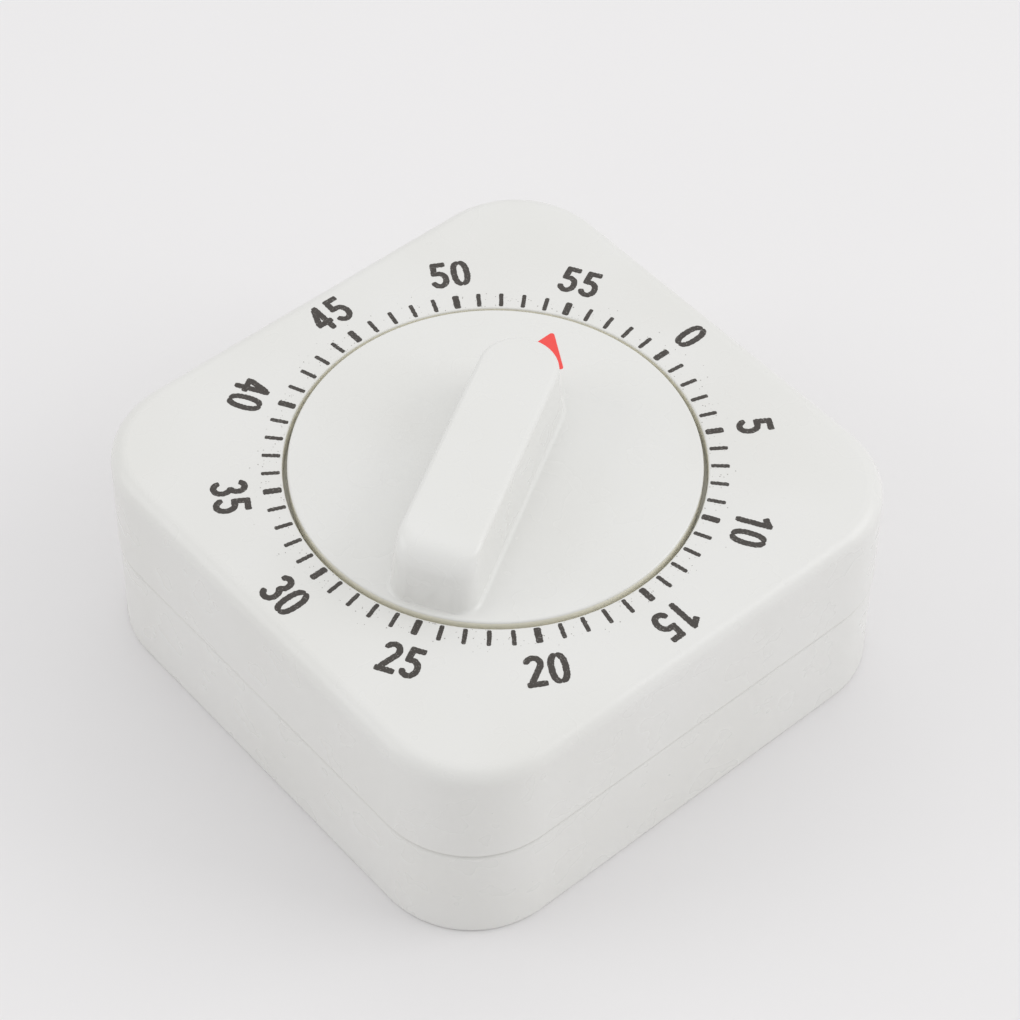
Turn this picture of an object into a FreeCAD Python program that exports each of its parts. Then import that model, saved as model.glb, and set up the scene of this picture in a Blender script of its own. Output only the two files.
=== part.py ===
"""Wind-up sixty-minute kitchen timer with a square two-part case, a turning dial and a bell.

The row frame has its origin at the middle of the case's base, +Z up, +Y towards the zero mark and
+X towards the fifteen-minute mark.  Sizes are in millimetres and angles in degrees, counted
counter-clockwise from +X when seen from above.  Every piece is written as one STEP file that
carries the piece's name.
"""
import FreeCAD
import Part
import math
import os

Vec = FreeCAD.Vector
UP = Vec(0, 0, 1)

# ---------------------------------------------------------------- fits
PRESS_GAP = 0.01        # radial gap of a piece that is pressed on its shaft
RUNNING_GAP = 0.05      # radial gap of a shaft that turns in its hole
FREE_GAP = 0.15         # gap between neighbours that must not rub

# ---------------------------------------------------------------- case
SIDE_ROOM = 10.55        # edge of the movement's plates to the outside of the case's base
UPPER_CASE_HEIGHT = 15.0
LOWER_DRAFT = 0.3       # lower shell, drawn in on each side from its base to its rim
RIM_OVERHANG = 0.15     # upper shell's rim beyond the lower shell's rim, on each side
UPPER_DRAFT = 0.25      # upper shell, drawn in on each side from its rim to its top
CORNER_RADIUS = 12.7
TOP_EDGE_RADIUS = 2.1
BASE_EDGE_RADIUS = 0.5
RIM_EDGE_RADIUS = 0.6
SEAM_GAP = 0.4          # shadow gap between the two rims; the shells meet on their screw bosses
WALL = 1.9
FLOOR = 2.0
LIP_HEIGHT = 2.4
LIP_WALL = 0.9
BOSS_INSET = 8.3        # boss axis to the side of the case, along each side
BOSS_RADIUS = 3.2
CASE_SCREW_RADIUS = 1.2
CASE_SCREW_HEAD_RADIUS = 2.4
CASE_SCREW_HEAD = 1.5
CASE_SCREW_SEAT = 6.0   # height of the shoulder under the screw head, above the base
CASE_SCREW_GRIP = 6.0   # thread length inside the upper boss
SLOT_COUNT = 12
SLOT_WIDTH = 1.6
SLOT_LENGTH = 7.0
SLOT_CIRCLE_RADIUS = 14.0

# ---------------------------------------------------------------- dial
DIAL_RADIUS = 25.0
DIAL_GAP = 0.6
DIAL_PROUD = 0.35
DIAL_THICKNESS = 2.2
DIAL_EDGE_RADIUS = 0.3
HOLE_EDGE_RADIUS = 0.25
DIAL_LIFT = 0.65        # underside of the dial above the well's floor
WELL_WALL = 1.5
HUB_RADIUS = 4.2
HUB_TO_CAM = 0.35
GRIP_ANGLE = 120.72     # direction of the pointer at rest, 54.88 minutes
GRIP_HEIGHT = 8.05      # above the dial's face
GRIP_TOP_WIDTH = 9.8
GRIP_POINTER_TOP = 13.2
GRIP_TAIL_MARGIN = 0.9  # foot of the grip's tail to the edge of the dial
GRIP_SIDE_DRAFT = 0.5   # each side wall leans out by this from top to foot
GRIP_POINTER_DRAFT = 0.7
GRIP_TAIL_DRAFT = 0.9
GRIP_TAIL_CORNER = 2.6
GRIP_TAIL_ROUND = 2.9
GRIP_EDGE_RADIUS = 0.7
GRIP_ROOT_RADIUS = 0.55
GRIP_WALL = 1.7
ROUND_STEPS = 5         # sections that shape each rounded edge of the grip

# ---------------------------------------------------------------- movement frame
PLATE_MARGIN = 4.1      # pillar's axis to the edge of the plates, along each side
PLATE_CORNER = 5.0
PLATE_THICKNESS = 0.8
PILLAR_RADIUS = 2.2
WHEEL_TO_PILLAR = 2.022
PILLAR_STUD_RADIUS = 1.1
NUT_WIDTH = 4.0
NUT_HEIGHT = 1.1
MOVEMENT_SCREW_ANGLES = (8.0, 82.0, 152.0)
MOVEMENT_SCREW_INSET = 4.5      # screw's circle to the middle of the plate's side
MOVEMENT_SCREW_RADIUS = 1.0
MOVEMENT_SCREW_HEAD_RADIUS = 2.0
MOVEMENT_SCREW_HEAD = 1.0
MOVEMENT_BOSS_RADIUS = 2.8
PIVOT_RADIUS = 0.5
ARBOR_RADIUS = 0.75
MAIN_ARBOR_RADIUS = 2.0
MAIN_PIVOT_RADIUS = 1.3
ARBOR_FLAT = 0.5        # depth of the flat on the main arbor's upper end

# ---------------------------------------------------------------- wheel train
MAIN_TEETH = 80
MAIN_MODULE = 0.40
SECOND_TEETH = 60
SECOND_MODULE = 0.32
THIRD_TEETH = 56
THIRD_MODULE = 0.28
PINION_LEAVES = 8
ESCAPE_TEETH = 15
ESCAPE_RADIUS = 4.5
ESCAPE_TOOTH_DEPTH = 1.3
WHEEL_ADDENDUM = 0.80   # in modules
WHEEL_DEDENDUM = 1.25
PINION_ADDENDUM = 0.60
PINION_DEDENDUM = 1.35
TOOTH_SHARE = 0.36      # of the pitch, at the pitch circle
TIP_SHARE = 0.13        # of the pitch, at the tip
MAIN_WHEEL_THICKNESS = 0.8
WHEEL_THICKNESS = 0.6
SECOND_ANGLE = 225.0
WHEEL_TO_ARBOR = 2.43   # main wheel's tips to the third and escape arbors
THIRD_WHEEL_RISE = 0.8  # above the bottom plate's upper face
PINION_OVERLAP = 0.4    # pinion beyond the wheel that drives it, on each side
RING_TEETH = 12
RING_RADIUS = 5.2
RING_TOOTH_DEPTH = 1.2
RING_WHEEL_THICKNESS = 0.5
WHEEL_TO_RING = 0.5     # second wheel to the ring wheel above it
RING_TO_PLATE = 0.4

# ---------------------------------------------------------------- winding
RATCHET_TEETH = 24
RATCHET_RADIUS = 5.0
RATCHET_TOOTH_DEPTH = 0.9
RATCHET_THICKNESS = 0.7
WHEEL_TO_RATCHET = 0.3
CLICK_PIVOT_CIRCLE = 9.6
CLICK_PIVOT_ANGLE = 25.0
CLICK_REACH_ANGLE = 68.0
CLICK_EYE_RADIUS = 1.5
CLICK_BEAK_RADIUS = 0.35
CLICK_PIN_RADIUS = 0.7
CLICK_PIN_HEAD = 0.5
PIN_TO_WHEEL = 0.35     # click pin's head to the second wheel above it
CLICK_SPRING_THICKNESS = 0.2
CLIP_WIDTH = 1.4        # from the arbor to the clip's edge
CLIP_THICKNESS = 0.4
MAINSPRING_HEIGHT = 4.2
MAINSPRING_RISE = 0.6
MAINSPRING_THICKNESS = 0.3
MAINSPRING_TURNS = 7.0
SPRING_TO_ARBOR = 0.3
SPRING_TO_WHEEL = 0.436 # mainspring's outer turn to the third wheel's tips
SPRING_TO_CLIP = 0.25
SPRING_POST_ANGLE = 60.0
SPRING_POST_RADIUS = 0.8

# ---------------------------------------------------------------- escapement
BALANCE_RADIUS = 6.3
BALANCE_RIM = 1.3
BALANCE_OUTSET = 0.5    # balance's circle beyond the third and escape arbors' circle
BALANCE_TO_ARBOR = 0.55
PINION_TO_BALANCE = 0.2
BALANCE_TO_WHEEL = 0.7  # balance to the escape wheel above it
BALANCE_THICKNESS = 0.7
BALANCE_SPOKE_WIDTH = 1.2
BALANCE_HUB_RADIUS = 1.5
PALLET_PIN_RADIUS = 0.28
PALLET_PIN_CLEARANCE = 0.57
PALLET_PIN_ANGLE = 40.0
PALLET_ARM_WIDTH = 1.1
PALLET_ARM_THICKNESS = 0.5

# ---------------------------------------------------------------- alarm
CAM_RADIUS = 9.0
CAM_THICKNESS = 1.0
CAM_RISE = 0.4          # above the top plate
CAM_NOTCH_DEPTH = 1.6
CAM_NOTCH_HALF_ANGLE = 7.0
CAM_ROOM = 1.1          # cam to the underside of the well
WHEEL_TO_HAMMER = 0.93  # main wheel's tips to the hammer arbor
SECOND_TO_HAMMER = 0.696
FINGER_THICKNESS = 0.6
FINGER_TIP_RADIUS = 0.5
TAIL_LENGTH = 9.0
TAIL_WIDTH = 1.1
TAIL_THICKNESS = 0.5
HAMMER_ARM_LENGTH = 8.6
HAMMER_ARM_WIDTH = 1.4
HAMMER_ARM_THICKNESS = 0.6
HAMMER_ARM_DROP = 2.6   # below the bottom plate
HAMMER_HEAD_RADIUS = 1.2
HAMMER_HEAD_HEIGHT = 2.0
HAMMER_TO_BELL = 0.6
BELL_ANGLE = 17.42      # from the hammer arbor to the bell's middle
BELL_TO_HAMMER = 3.398  # bell's edge to the hammer arbor's axis
BELL_RADIUS = 20.0
BELL_HEIGHT = 7.8
BELL_WALL = 0.7
BELL_EDGE = 2.2
BELL_TO_PLATE = 0.8
BELL_TO_NUT = 0.8       # least room round the bell inside the pillars' nuts
BELL_POST_RADIUS = 2.5
BELL_SCREW_RADIUS = 1.0
BELL_SCREW_HEAD_RADIUS = 2.2
BELL_SCREW_HEAD = 0.9
SCREW_TO_FLOOR = 0.5
HAMMER_SPRING_RISE = 2.0
HAMMER_SPRING_HEIGHT = 0.8
HAMMER_SPRING_OUTER = 3.0
HAMMER_SPRING_TURNS = 3.0
HAMMER_SPRING_THICKNESS = 0.2

# ---------------------------------------------------------------- levels, from the bottom plate up
clip_rise = MAINSPRING_RISE + MAINSPRING_HEIGHT + SPRING_TO_CLIP
main_wheel_rise = clip_rise + CLIP_THICKNESS + FREE_GAP
ratchet_rise = main_wheel_rise + MAIN_WHEEL_THICKNESS + WHEEL_TO_RATCHET
pin_head_rise = ratchet_rise + RATCHET_THICKNESS + FREE_GAP
second_wheel_rise = pin_head_rise + CLICK_PIN_HEAD + PIN_TO_WHEEL
ring_wheel_rise = second_wheel_rise + WHEEL_THICKNESS + WHEEL_TO_RING
plate_spacing = ring_wheel_rise + RING_WHEEL_THICKNESS + RING_TO_PLATE
balance_rise = THIRD_WHEEL_RISE + WHEEL_THICKNESS + PINION_OVERLAP + PINION_TO_BALANCE
escape_wheel_rise = balance_rise + BALANCE_THICKNESS + BALANCE_TO_WHEEL

# ---------------------------------------------------------------- heights, from the base up
bell_low = FLOOR + SCREW_TO_FLOOR + BELL_SCREW_HEAD
bell_top = bell_low + BELL_HEIGHT
plate_low = bell_top + BELL_TO_PLATE
inside_low = plate_low + PLATE_THICKNESS
inside_high = inside_low + plate_spacing
plate_high = inside_high + PLATE_THICKNESS
cam_low = plate_high + CAM_RISE
cam_high = cam_low + CAM_THICKNESS
hub_bottom = cam_high + HUB_TO_CAM
well_floor_bottom = cam_high + CAM_ROOM
well_floor_top = well_floor_bottom + WELL_WALL
dial_bottom = well_floor_top + DIAL_LIFT
dial_top = dial_bottom + DIAL_THICKNESS
case_height = dial_top - DIAL_PROUD
parting_height = case_height - UPPER_CASE_HEIGHT
lower_rim = parting_height - SEAM_GAP
lip_top = parting_height + LIP_HEIGHT

# ---------------------------------------------------------------- dial sizes worked out
well_radius = DIAL_RADIUS + DIAL_GAP
grip_base_width = GRIP_TOP_WIDTH + 2 * GRIP_SIDE_DRAFT
grip_pointer_base = GRIP_POINTER_TOP + GRIP_POINTER_DRAFT
grip_tail_base = DIAL_RADIUS - GRIP_TAIL_MARGIN
grip_tail_top = grip_tail_base - GRIP_TAIL_DRAFT


def polar(radius, angle, z=0.0):
    """Point at a radius and angle about the Z axis."""
    return Vec(radius * math.cos(math.radians(angle)), radius * math.sin(math.radians(angle)), z)


def angle_of(vector):
    """Direction of a vector in the XY plane."""
    return math.degrees(math.atan2(vector.y, vector.x))


def reach_point(pivot, centre, distance, arm, side):
    """Point at one arm's length from the pivot and at the distance from the centre.

    side is +1 for the point to the left of the way from pivot to centre, -1 for the right.
    """
    span = centre.sub(pivot)
    opening = math.acos((span.Length ** 2 + arm ** 2 - distance ** 2) / (2 * span.Length * arm))
    return pivot.add(polar(arm, angle_of(span) + side * math.degrees(opening)))


def neighbour_angle(angle, circle, next_circle, distance, side=1):
    """Angle of a point on next_circle at a distance from the one at an angle on circle.

    side is +1 for the point further round counter-clockwise, -1 for the one before it.
    """
    cosine = (circle ** 2 + next_circle ** 2 - distance ** 2) / (2 * circle * next_circle)
    return angle + side * math.degrees(math.acos(cosine))


def centre_distance(teeth, module):
    """Distance between a wheel and the pinion that it drives."""
    return (teeth + PINION_LEAVES) * module / 2


def tip_radius(teeth, module):
    """Radius of a wheel over its tips."""
    return (teeth / 2 + WHEEL_ADDENDUM) * module


# ---------------------------------------------------------------- places, from the main arbor out
main_tip = tip_radius(MAIN_TEETH, MAIN_MODULE)
second_tip = tip_radius(SECOND_TEETH, SECOND_MODULE)
third_tip = tip_radius(THIRD_TEETH, THIRD_MODULE)
outer_circle = main_tip + ARBOR_RADIUS + WHEEL_TO_ARBOR
second_place = polar(centre_distance(MAIN_TEETH, MAIN_MODULE), SECOND_ANGLE)
third_angle = neighbour_angle(SECOND_ANGLE, second_place.Length, outer_circle,
                              centre_distance(SECOND_TEETH, SECOND_MODULE))
third_place = polar(outer_circle, third_angle)
escape_angle = neighbour_angle(third_angle, outer_circle, outer_circle,
                               centre_distance(THIRD_TEETH, THIRD_MODULE))
escape_place = polar(outer_circle, escape_angle)
balance_circle = outer_circle + BALANCE_OUTSET
balance_angle = neighbour_angle(escape_angle, outer_circle, balance_circle,
                                BALANCE_RADIUS + ARBOR_RADIUS + BALANCE_TO_ARBOR)
balance_place = polar(balance_circle, balance_angle)
hammer_circle = main_tip + ARBOR_RADIUS + WHEEL_TO_HAMMER
hammer_angle = neighbour_angle(SECOND_ANGLE, second_place.Length, hammer_circle,
                               second_tip + ARBOR_RADIUS + SECOND_TO_HAMMER, -1)
hammer_place = polar(hammer_circle, hammer_angle)
bell_centre = hammer_place.add(polar(BELL_RADIUS + BELL_TO_HAMMER, BELL_ANGLE))
click_place = polar(CLICK_PIVOT_CIRCLE, CLICK_PIVOT_ANGLE)
mainspring_inner = MAIN_ARBOR_RADIUS + SPRING_TO_ARBOR
mainspring_outer = outer_circle - third_tip - SPRING_TO_WHEEL
spring_post_place = polar(mainspring_outer + SPRING_POST_RADIUS + FREE_GAP, SPRING_POST_ANGLE)
wheel_reach = second_place.Length + second_tip + WHEEL_TO_PILLAR + PILLAR_RADIUS
nut_corner = NUT_WIDTH / math.sqrt(3)
bell_reach = bell_centre.Length + BELL_RADIUS + BELL_TO_NUT + nut_corner
pillar_place = max(wheel_reach, bell_reach) / math.sqrt(2)
plate_width = 2 * (pillar_place + PLATE_MARGIN)
movement_screw_circle = plate_width / 2 - MOVEMENT_SCREW_INSET
case_width = plate_width + 2 * SIDE_ROOM
lower_rim_width = case_width - 2 * LOWER_DRAFT
upper_rim_width = lower_rim_width + 2 * RIM_OVERHANG
case_top_width = upper_rim_width - 2 * UPPER_DRAFT
boss_place = case_width / 2 - BOSS_INSET


# ---------------------------------------------------------------- shapes
def disc(radius, z_low, z_high, place=Vec(0, 0, 0)):
    """Upright cylinder between two heights."""
    return Part.makeCylinder(radius, z_high - z_low, Vec(place.x, place.y, z_low), UP)


def ring(outer, inner, z_low, z_high, place=Vec(0, 0, 0)):
    """Upright tube between two heights."""
    return disc(outer, z_low, z_high, place).cut(disc(inner, z_low, z_high, place))


def arc(centre, radius, start, end):
    """Arc edge in the XY plane at the centre's height, from one angle to the other."""
    points = [centre.add(polar(radius, a)) for a in (start, (start + end) / 2, end)]
    return Part.Arc(*points).toShape()


def line(start, end):
    """Straight edge."""
    return Part.LineSegment(start, end).toShape()


def rounded_square(width, radius, z):
    """Closed wire of a square with rounded corners, centred on the Z axis."""
    inset = width / 2 - radius
    corners = [Vec(sx * inset, sy * inset, z) for sx, sy in ((1, 1), (-1, 1), (-1, -1), (1, -1))]
    arcs = [arc(c, radius, 90 * i, 90 * i + 90) for i, c in enumerate(corners)]
    edges = []
    for i, edge in enumerate(arcs):
        edges.append(edge)
        edges.append(line(edge.Vertexes[-1].Point, arcs[(i + 1) % 4].Vertexes[0].Point))
    return Part.Wire(edges)


def square_block(width_low, width_high, radius, z_low, z_high):
    """Solid with a rounded square section that tapers from one height to the other."""
    low = rounded_square(width_low, radius, z_low)
    high = rounded_square(width_high, radius, z_high)
    return Part.makeLoft([low, high], True, True)


def prism(wire, height):
    """Solid that stands on a flat closed wire."""
    return Part.Face(wire).extrude(Vec(0, 0, height))


def polygon_prism(points, z_low, z_high):
    """Upright prism on a list of XY corners."""
    corners = [Vec(p.x, p.y, z_low) for p in points]
    return prism(Part.makePolygon(corners + corners[:1]), z_high - z_low)


def bar(start, end, width, z_low, z_high):
    """Flat bar with round ends between two points."""
    along = angle_of(end.sub(start))
    centres = [Vec(p.x, p.y, z_low) for p in (start, end)]
    tail = arc(centres[0], width / 2, along + 90, along + 270)
    nose = arc(centres[1], width / 2, along - 90, along + 90)
    sides = [line(tail.Vertexes[-1].Point, nose.Vertexes[0].Point),
             line(nose.Vertexes[-1].Point, tail.Vertexes[0].Point)]
    return prism(Part.Wire([tail, sides[0], nose, sides[1]]), z_high - z_low)


def edges_at(shape, z, tolerance=0.01):
    """Edges of a shape that lie wholly at one height."""
    return [e for e in shape.Edges
            if abs(e.BoundBox.ZMin - z) < tolerance and abs(e.BoundBox.ZMax - z) < tolerance]


def toothed_wheel(teeth, module, phase, z_low, z_high, place, addendum, dedendum):
    """Gear with straight-sided teeth; one tooth is centred on the phase angle."""
    pitch_radius = teeth * module / 2
    tip = pitch_radius + addendum * module
    root = pitch_radius - dedendum * module
    pitch = 360.0 / teeth
    root_share = TOOTH_SHARE + (TOOTH_SHARE - TIP_SHARE) * dedendum / addendum * 0.5
    points = []
    for i in range(teeth):
        middle = phase + i * pitch
        for radius, share in ((root, -root_share), (pitch_radius, -TOOTH_SHARE), (tip, -TIP_SHARE),
                              (tip, TIP_SHARE), (pitch_radius, TOOTH_SHARE), (root, root_share)):
            points.append(place.add(polar(radius, middle + share * pitch / 2)))
    return polygon_prism(points, z_low, z_high)


def saw_wheel(teeth, radius, depth, lean, phase, z_low, z_high, place):
    """Wheel with pointed teeth; lean is the share of the pitch by which tips lead the roots."""
    pitch = 360.0 / teeth
    points = []
    for i in range(teeth):
        points.append(place.add(polar(radius - depth, phase + i * pitch)))
        points.append(place.add(polar(radius, phase + (i + lean) * pitch)))
    return polygon_prism(points, z_low, z_high)


def pinion_phase(wheel_teeth, wheel_phase, direction):
    """Phase of a pinion that meshes with a wheel; direction is from the wheel to the pinion."""
    wheel_pitch = 360.0 / wheel_teeth
    leaf_pitch = 360.0 / PINION_LEAVES
    return direction + 180 - leaf_pitch * (0.5 - (direction - wheel_phase) / wheel_pitch)


def lightened(wheel, count, circle, radius, z_low, z_high, place):
    """Wheel with round windows evenly spaced on a circle."""
    for i in range(count):
        wheel = wheel.cut(disc(radius, z_low, z_high, place.add(polar(circle, i * 360.0 / count))))
    return wheel


def spiral_strip(inner, outer, turns, start, thickness, z_low, z_high, place=Vec(0, 0, 0)):
    """Flat spiral spring: a strip on edge that winds outwards at a constant pitch."""
    steps = int(turns * 16)
    curves = []
    for side in (0.0, thickness):
        points = []
        for i in range(steps + 1):
            share = i / steps
            radius = inner + (outer - thickness - inner) * share + side
            points.append(place.add(polar(radius, start + 360 * turns * share, z_low)))
        curve = Part.BSplineCurve()
        curve.interpolate(points)
        curves.append(curve.toShape())
    ends = [line(curves[0].Vertexes[k].Point, curves[1].Vertexes[k].Point) for k in (0, -1)]
    outline = Part.Wire(Part.__sortEdges__([curves[0], ends[1], curves[1], ends[0]]))
    return prism(outline, z_high - z_low)


def arbor(place, z_low, z_high, radius=ARBOR_RADIUS, pivot=PIVOT_RADIUS):
    """Shaft between the plates with a thinner pivot at each end, in the plates' holes."""
    body = disc(radius, inside_low + FREE_GAP, inside_high - FREE_GAP, place)
    return body.fuse(disc(pivot, z_low, z_high, place)).removeSplitter()


def train_arbor(place, pinion):
    """Arbor whose pivots end flush with the plates, with its pinion cut from the same bar."""
    return arbor(place, plate_low, plate_high).fuse(pinion).removeSplitter()


# ---------------------------------------------------------------- case
def corner_places(inset):
    """Four places on the case's diagonals, at the same distance along X and Y."""
    return [Vec(sx * inset, sy * inset, 0) for sx in (-1, 1) for sy in (-1, 1)]


def case_bosses(z_low, z_high, radius):
    """One solid for each of the four case screw positions, as a list."""
    return [disc(radius, z_low, z_high, p) for p in corner_places(boss_place)]


def movement_screw_places():
    """Places of the screws that hold the movement in the upper case."""
    return [polar(movement_screw_circle, a) for a in MOVEMENT_SCREW_ANGLES]


def make_upper_case():
    """Upper shell with the round well that the dial turns in."""
    shell = square_block(upper_rim_width, case_top_width, CORNER_RADIUS, parting_height, case_height)
    shell = shell.makeFillet(TOP_EDGE_RADIUS, edges_at(shell, case_height))
    ceiling = case_height - WALL
    shell = shell.cut(square_block(upper_rim_width - 2 * WALL, case_top_width - 2 * WALL,
                                   CORNER_RADIUS - WALL, parting_height, ceiling))
    shell = shell.fuse(disc(well_radius + WELL_WALL, well_floor_bottom, ceiling))
    shell = shell.fuse(case_bosses(lip_top, ceiling, BOSS_RADIUS))
    for place in movement_screw_places():
        shell = shell.fuse(disc(MOVEMENT_BOSS_RADIUS, plate_high, well_floor_bottom, place))
    shell = shell.cut(disc(well_radius, well_floor_top, case_height + 1))
    shell = shell.cut(disc(HUB_RADIUS + DIAL_GAP, well_floor_bottom - 1, well_floor_top + 1))
    for hole in case_bosses(lip_top, lip_top + CASE_SCREW_GRIP, CASE_SCREW_RADIUS + PRESS_GAP):
        shell = shell.cut(hole)
    for place in movement_screw_places():
        shell = shell.cut(disc(MOVEMENT_SCREW_RADIUS + PRESS_GAP, plate_high,
                               well_floor_bottom + WELL_WALL / 2, place))
    shell = shell.removeSplitter()
    rim = [e for e in edges_at(shell, case_height) if e.BoundBox.XMax < well_radius + 0.1]
    return shell.makeFillet(HOLE_EDGE_RADIUS, rim)


def make_lower_case():
    """Lower shell with the locating lip, the screw bosses and the sound slots under the bell."""
    shell = square_block(case_width, lower_rim_width, CORNER_RADIUS, 0, lower_rim)
    shell = shell.makeFillet(BASE_EDGE_RADIUS, edges_at(shell, 0))
    shell = shell.makeFillet(RIM_EDGE_RADIUS, edges_at(shell, lower_rim))
    lip = prism(rounded_square(upper_rim_width - 2 * (WALL + FREE_GAP),
                               CORNER_RADIUS - WALL - FREE_GAP, FLOOR), lip_top - FLOOR)
    shell = shell.fuse(lip)
    inset = WALL + FREE_GAP + LIP_WALL
    shell = shell.cut(prism(rounded_square(upper_rim_width - 2 * inset, CORNER_RADIUS - inset, FLOOR),
                            lip_top - FLOOR))
    shell = shell.fuse(case_bosses(FLOOR / 2, lip_top, BOSS_RADIUS))
    for hole in case_bosses(0, lip_top, CASE_SCREW_RADIUS + FREE_GAP):
        shell = shell.cut(hole)
    for recess in case_bosses(0, CASE_SCREW_SEAT, CASE_SCREW_HEAD_RADIUS + FREE_GAP):
        shell = shell.cut(recess)
    for i in range(SLOT_COUNT):
        angle = i * 360.0 / SLOT_COUNT
        start = polar(SLOT_CIRCLE_RADIUS - SLOT_LENGTH / 2, angle)
        end = polar(SLOT_CIRCLE_RADIUS + SLOT_LENGTH / 2, angle)
        shell = shell.cut(bar(start, end, SLOT_WIDTH, 0, FLOOR))
    return shell.removeSplitter()


def make_screw(place, seat, radius, tip, head_radius, head_height):
    """Slotted screw: seat is the height under the head, and the tip is above it."""
    shank = disc(radius, seat, tip, place)
    head = disc(head_radius, seat - head_height, seat, place)
    slot = Part.makeBox(2 * head_radius, head_radius / 4, head_height / 2,
                        Vec(place.x - head_radius, place.y - head_radius / 8, seat - head_height))
    return shank.fuse(head).removeSplitter().cut(slot)


def make_case_screws():
    """Four screws that come up through the lower case into the upper case."""
    tip = lip_top + CASE_SCREW_GRIP - FREE_GAP
    return Part.makeCompound([make_screw(p, CASE_SCREW_SEAT, CASE_SCREW_RADIUS, tip,
                                         CASE_SCREW_HEAD_RADIUS, CASE_SCREW_HEAD)
                              for p in corner_places(boss_place)])


def make_movement_screws():
    """Screws that hang the movement's top plate from the upper case."""
    tip = well_floor_bottom + WELL_WALL / 2 - FREE_GAP
    return Part.makeCompound([make_screw(p, inside_high, MOVEMENT_SCREW_RADIUS, tip,
                                         MOVEMENT_SCREW_HEAD_RADIUS, MOVEMENT_SCREW_HEAD)
                              for p in movement_screw_places()])


# ---------------------------------------------------------------- dial and grip
def grip_outline(width, pointer_end, tail_end, corner, z):
    """Closed wire of the grip: a half-round pointer end and a square tail with round corners.

    It is drawn with the pointer along +X and is turned to its rest direction afterwards.
    """
    half = width / 2
    nose = Vec(pointer_end - half, 0, z)
    left = Vec(corner - tail_end, half - corner, z)
    right = Vec(left.x, -left.y, z)
    arcs = [arc(nose, half, -90, 90),
            arc(left, corner, 90, 180),
            arc(right, corner, 180, 270)]
    edges = []
    for i, edge in enumerate(arcs):
        edges.append(edge)
        edges.append(line(edge.Vertexes[-1].Point, arcs[(i + 1) % 3].Vertexes[0].Point))
    return Part.Wire(edges)


def grip_block(inset, z_low, z_high):
    """Drafted body of the grip, drawn in by inset on every side."""
    corner = GRIP_TAIL_CORNER - inset
    low = grip_outline(grip_base_width - 2 * inset, grip_pointer_base - inset,
                       grip_tail_base - inset, corner, z_low)
    high = grip_outline(GRIP_TOP_WIDTH - 2 * inset, GRIP_POINTER_TOP - inset,
                        grip_tail_top - inset, corner, z_high)
    return Part.makeLoft([low, high], True, True)


def quarter_inset(radius, height):
    """How far a quarter-round edge draws in, at a height above the round's lower end."""
    return radius - math.sqrt(max(radius ** 2 - max(height, 0.0) ** 2, 0.0))


def grip_section(height):
    """Outline of the grip at a height above the dial's face, with its rounded edges."""
    share = height / GRIP_HEIGHT
    edge = quarter_inset(GRIP_EDGE_RADIUS, height - (GRIP_HEIGHT - GRIP_EDGE_RADIUS))
    edge -= quarter_inset(GRIP_ROOT_RADIUS, GRIP_ROOT_RADIUS - height)
    tail = quarter_inset(GRIP_TAIL_ROUND, height - (GRIP_HEIGHT - GRIP_TAIL_ROUND))
    width = grip_base_width + (GRIP_TOP_WIDTH - grip_base_width) * share - 2 * edge
    pointer_end = grip_pointer_base + (GRIP_POINTER_TOP - grip_pointer_base) * share - edge
    tail_end = grip_tail_base + (grip_tail_top - grip_tail_base) * share - max(tail, edge)
    return grip_outline(width, pointer_end, tail_end, GRIP_TAIL_CORNER, dial_top + height)


def grip_heights():
    """Heights of the grip's sections, closer together where its edges are rounded."""
    steps = [i / ROUND_STEPS * 90 for i in range(ROUND_STEPS + 1)]
    root = [GRIP_ROOT_RADIUS * (1 - math.cos(math.radians(a))) for a in steps]
    tail = [GRIP_HEIGHT - GRIP_TAIL_ROUND * (1 - math.sin(math.radians(a))) for a in steps]
    edge = [GRIP_HEIGHT - GRIP_EDGE_RADIUS * (1 - math.sin(math.radians(a))) for a in steps]
    tail = [h for h in tail if h < edge[0] - 0.05]
    return root + tail + edge


def make_dial_knob():
    """Dial disc, grip and hub, moulded in one piece and hollow under the grip."""
    grip_top = dial_top + GRIP_HEIGHT
    grip = Part.makeLoft([grip_section(h) for h in grip_heights()], True, True)
    plate = disc(DIAL_RADIUS, dial_bottom, dial_top)
    plate = plate.makeFillet(DIAL_EDGE_RADIUS, edges_at(plate, dial_top))
    knob = plate.fuse(grip)
    knob = knob.cut(grip_block(GRIP_WALL, dial_bottom, grip_top - GRIP_WALL))
    hub = disc(HUB_RADIUS, hub_bottom, grip_top - GRIP_WALL)
    hub = hub.common(disc(HUB_RADIUS, hub_bottom, dial_bottom).fuse(
        grip_block(GRIP_WALL / 2, dial_bottom, grip_top - GRIP_WALL / 2)))
    knob = knob.fuse(hub).removeSplitter()
    knob = knob.cut(arbor_end(PRESS_GAP, hub_bottom - 1, arbor_top + PRESS_GAP))
    knob.rotate(Vec(0, 0, 0), UP, GRIP_ANGLE)
    return knob


arbor_top = dial_top + GRIP_HEIGHT / 2


def arbor_end(gap, z_low, z_high):
    """Upper end of the main arbor, round with one flat, grown by gap."""
    radius = MAIN_PIVOT_RADIUS + gap
    flat_side = MAIN_PIVOT_RADIUS - ARBOR_FLAT + gap
    block = Part.makeBox(2 * radius, radius + flat_side, z_high - z_low,
                         Vec(-radius, -radius, z_low))
    return disc(radius, z_low, z_high).common(block)


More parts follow.
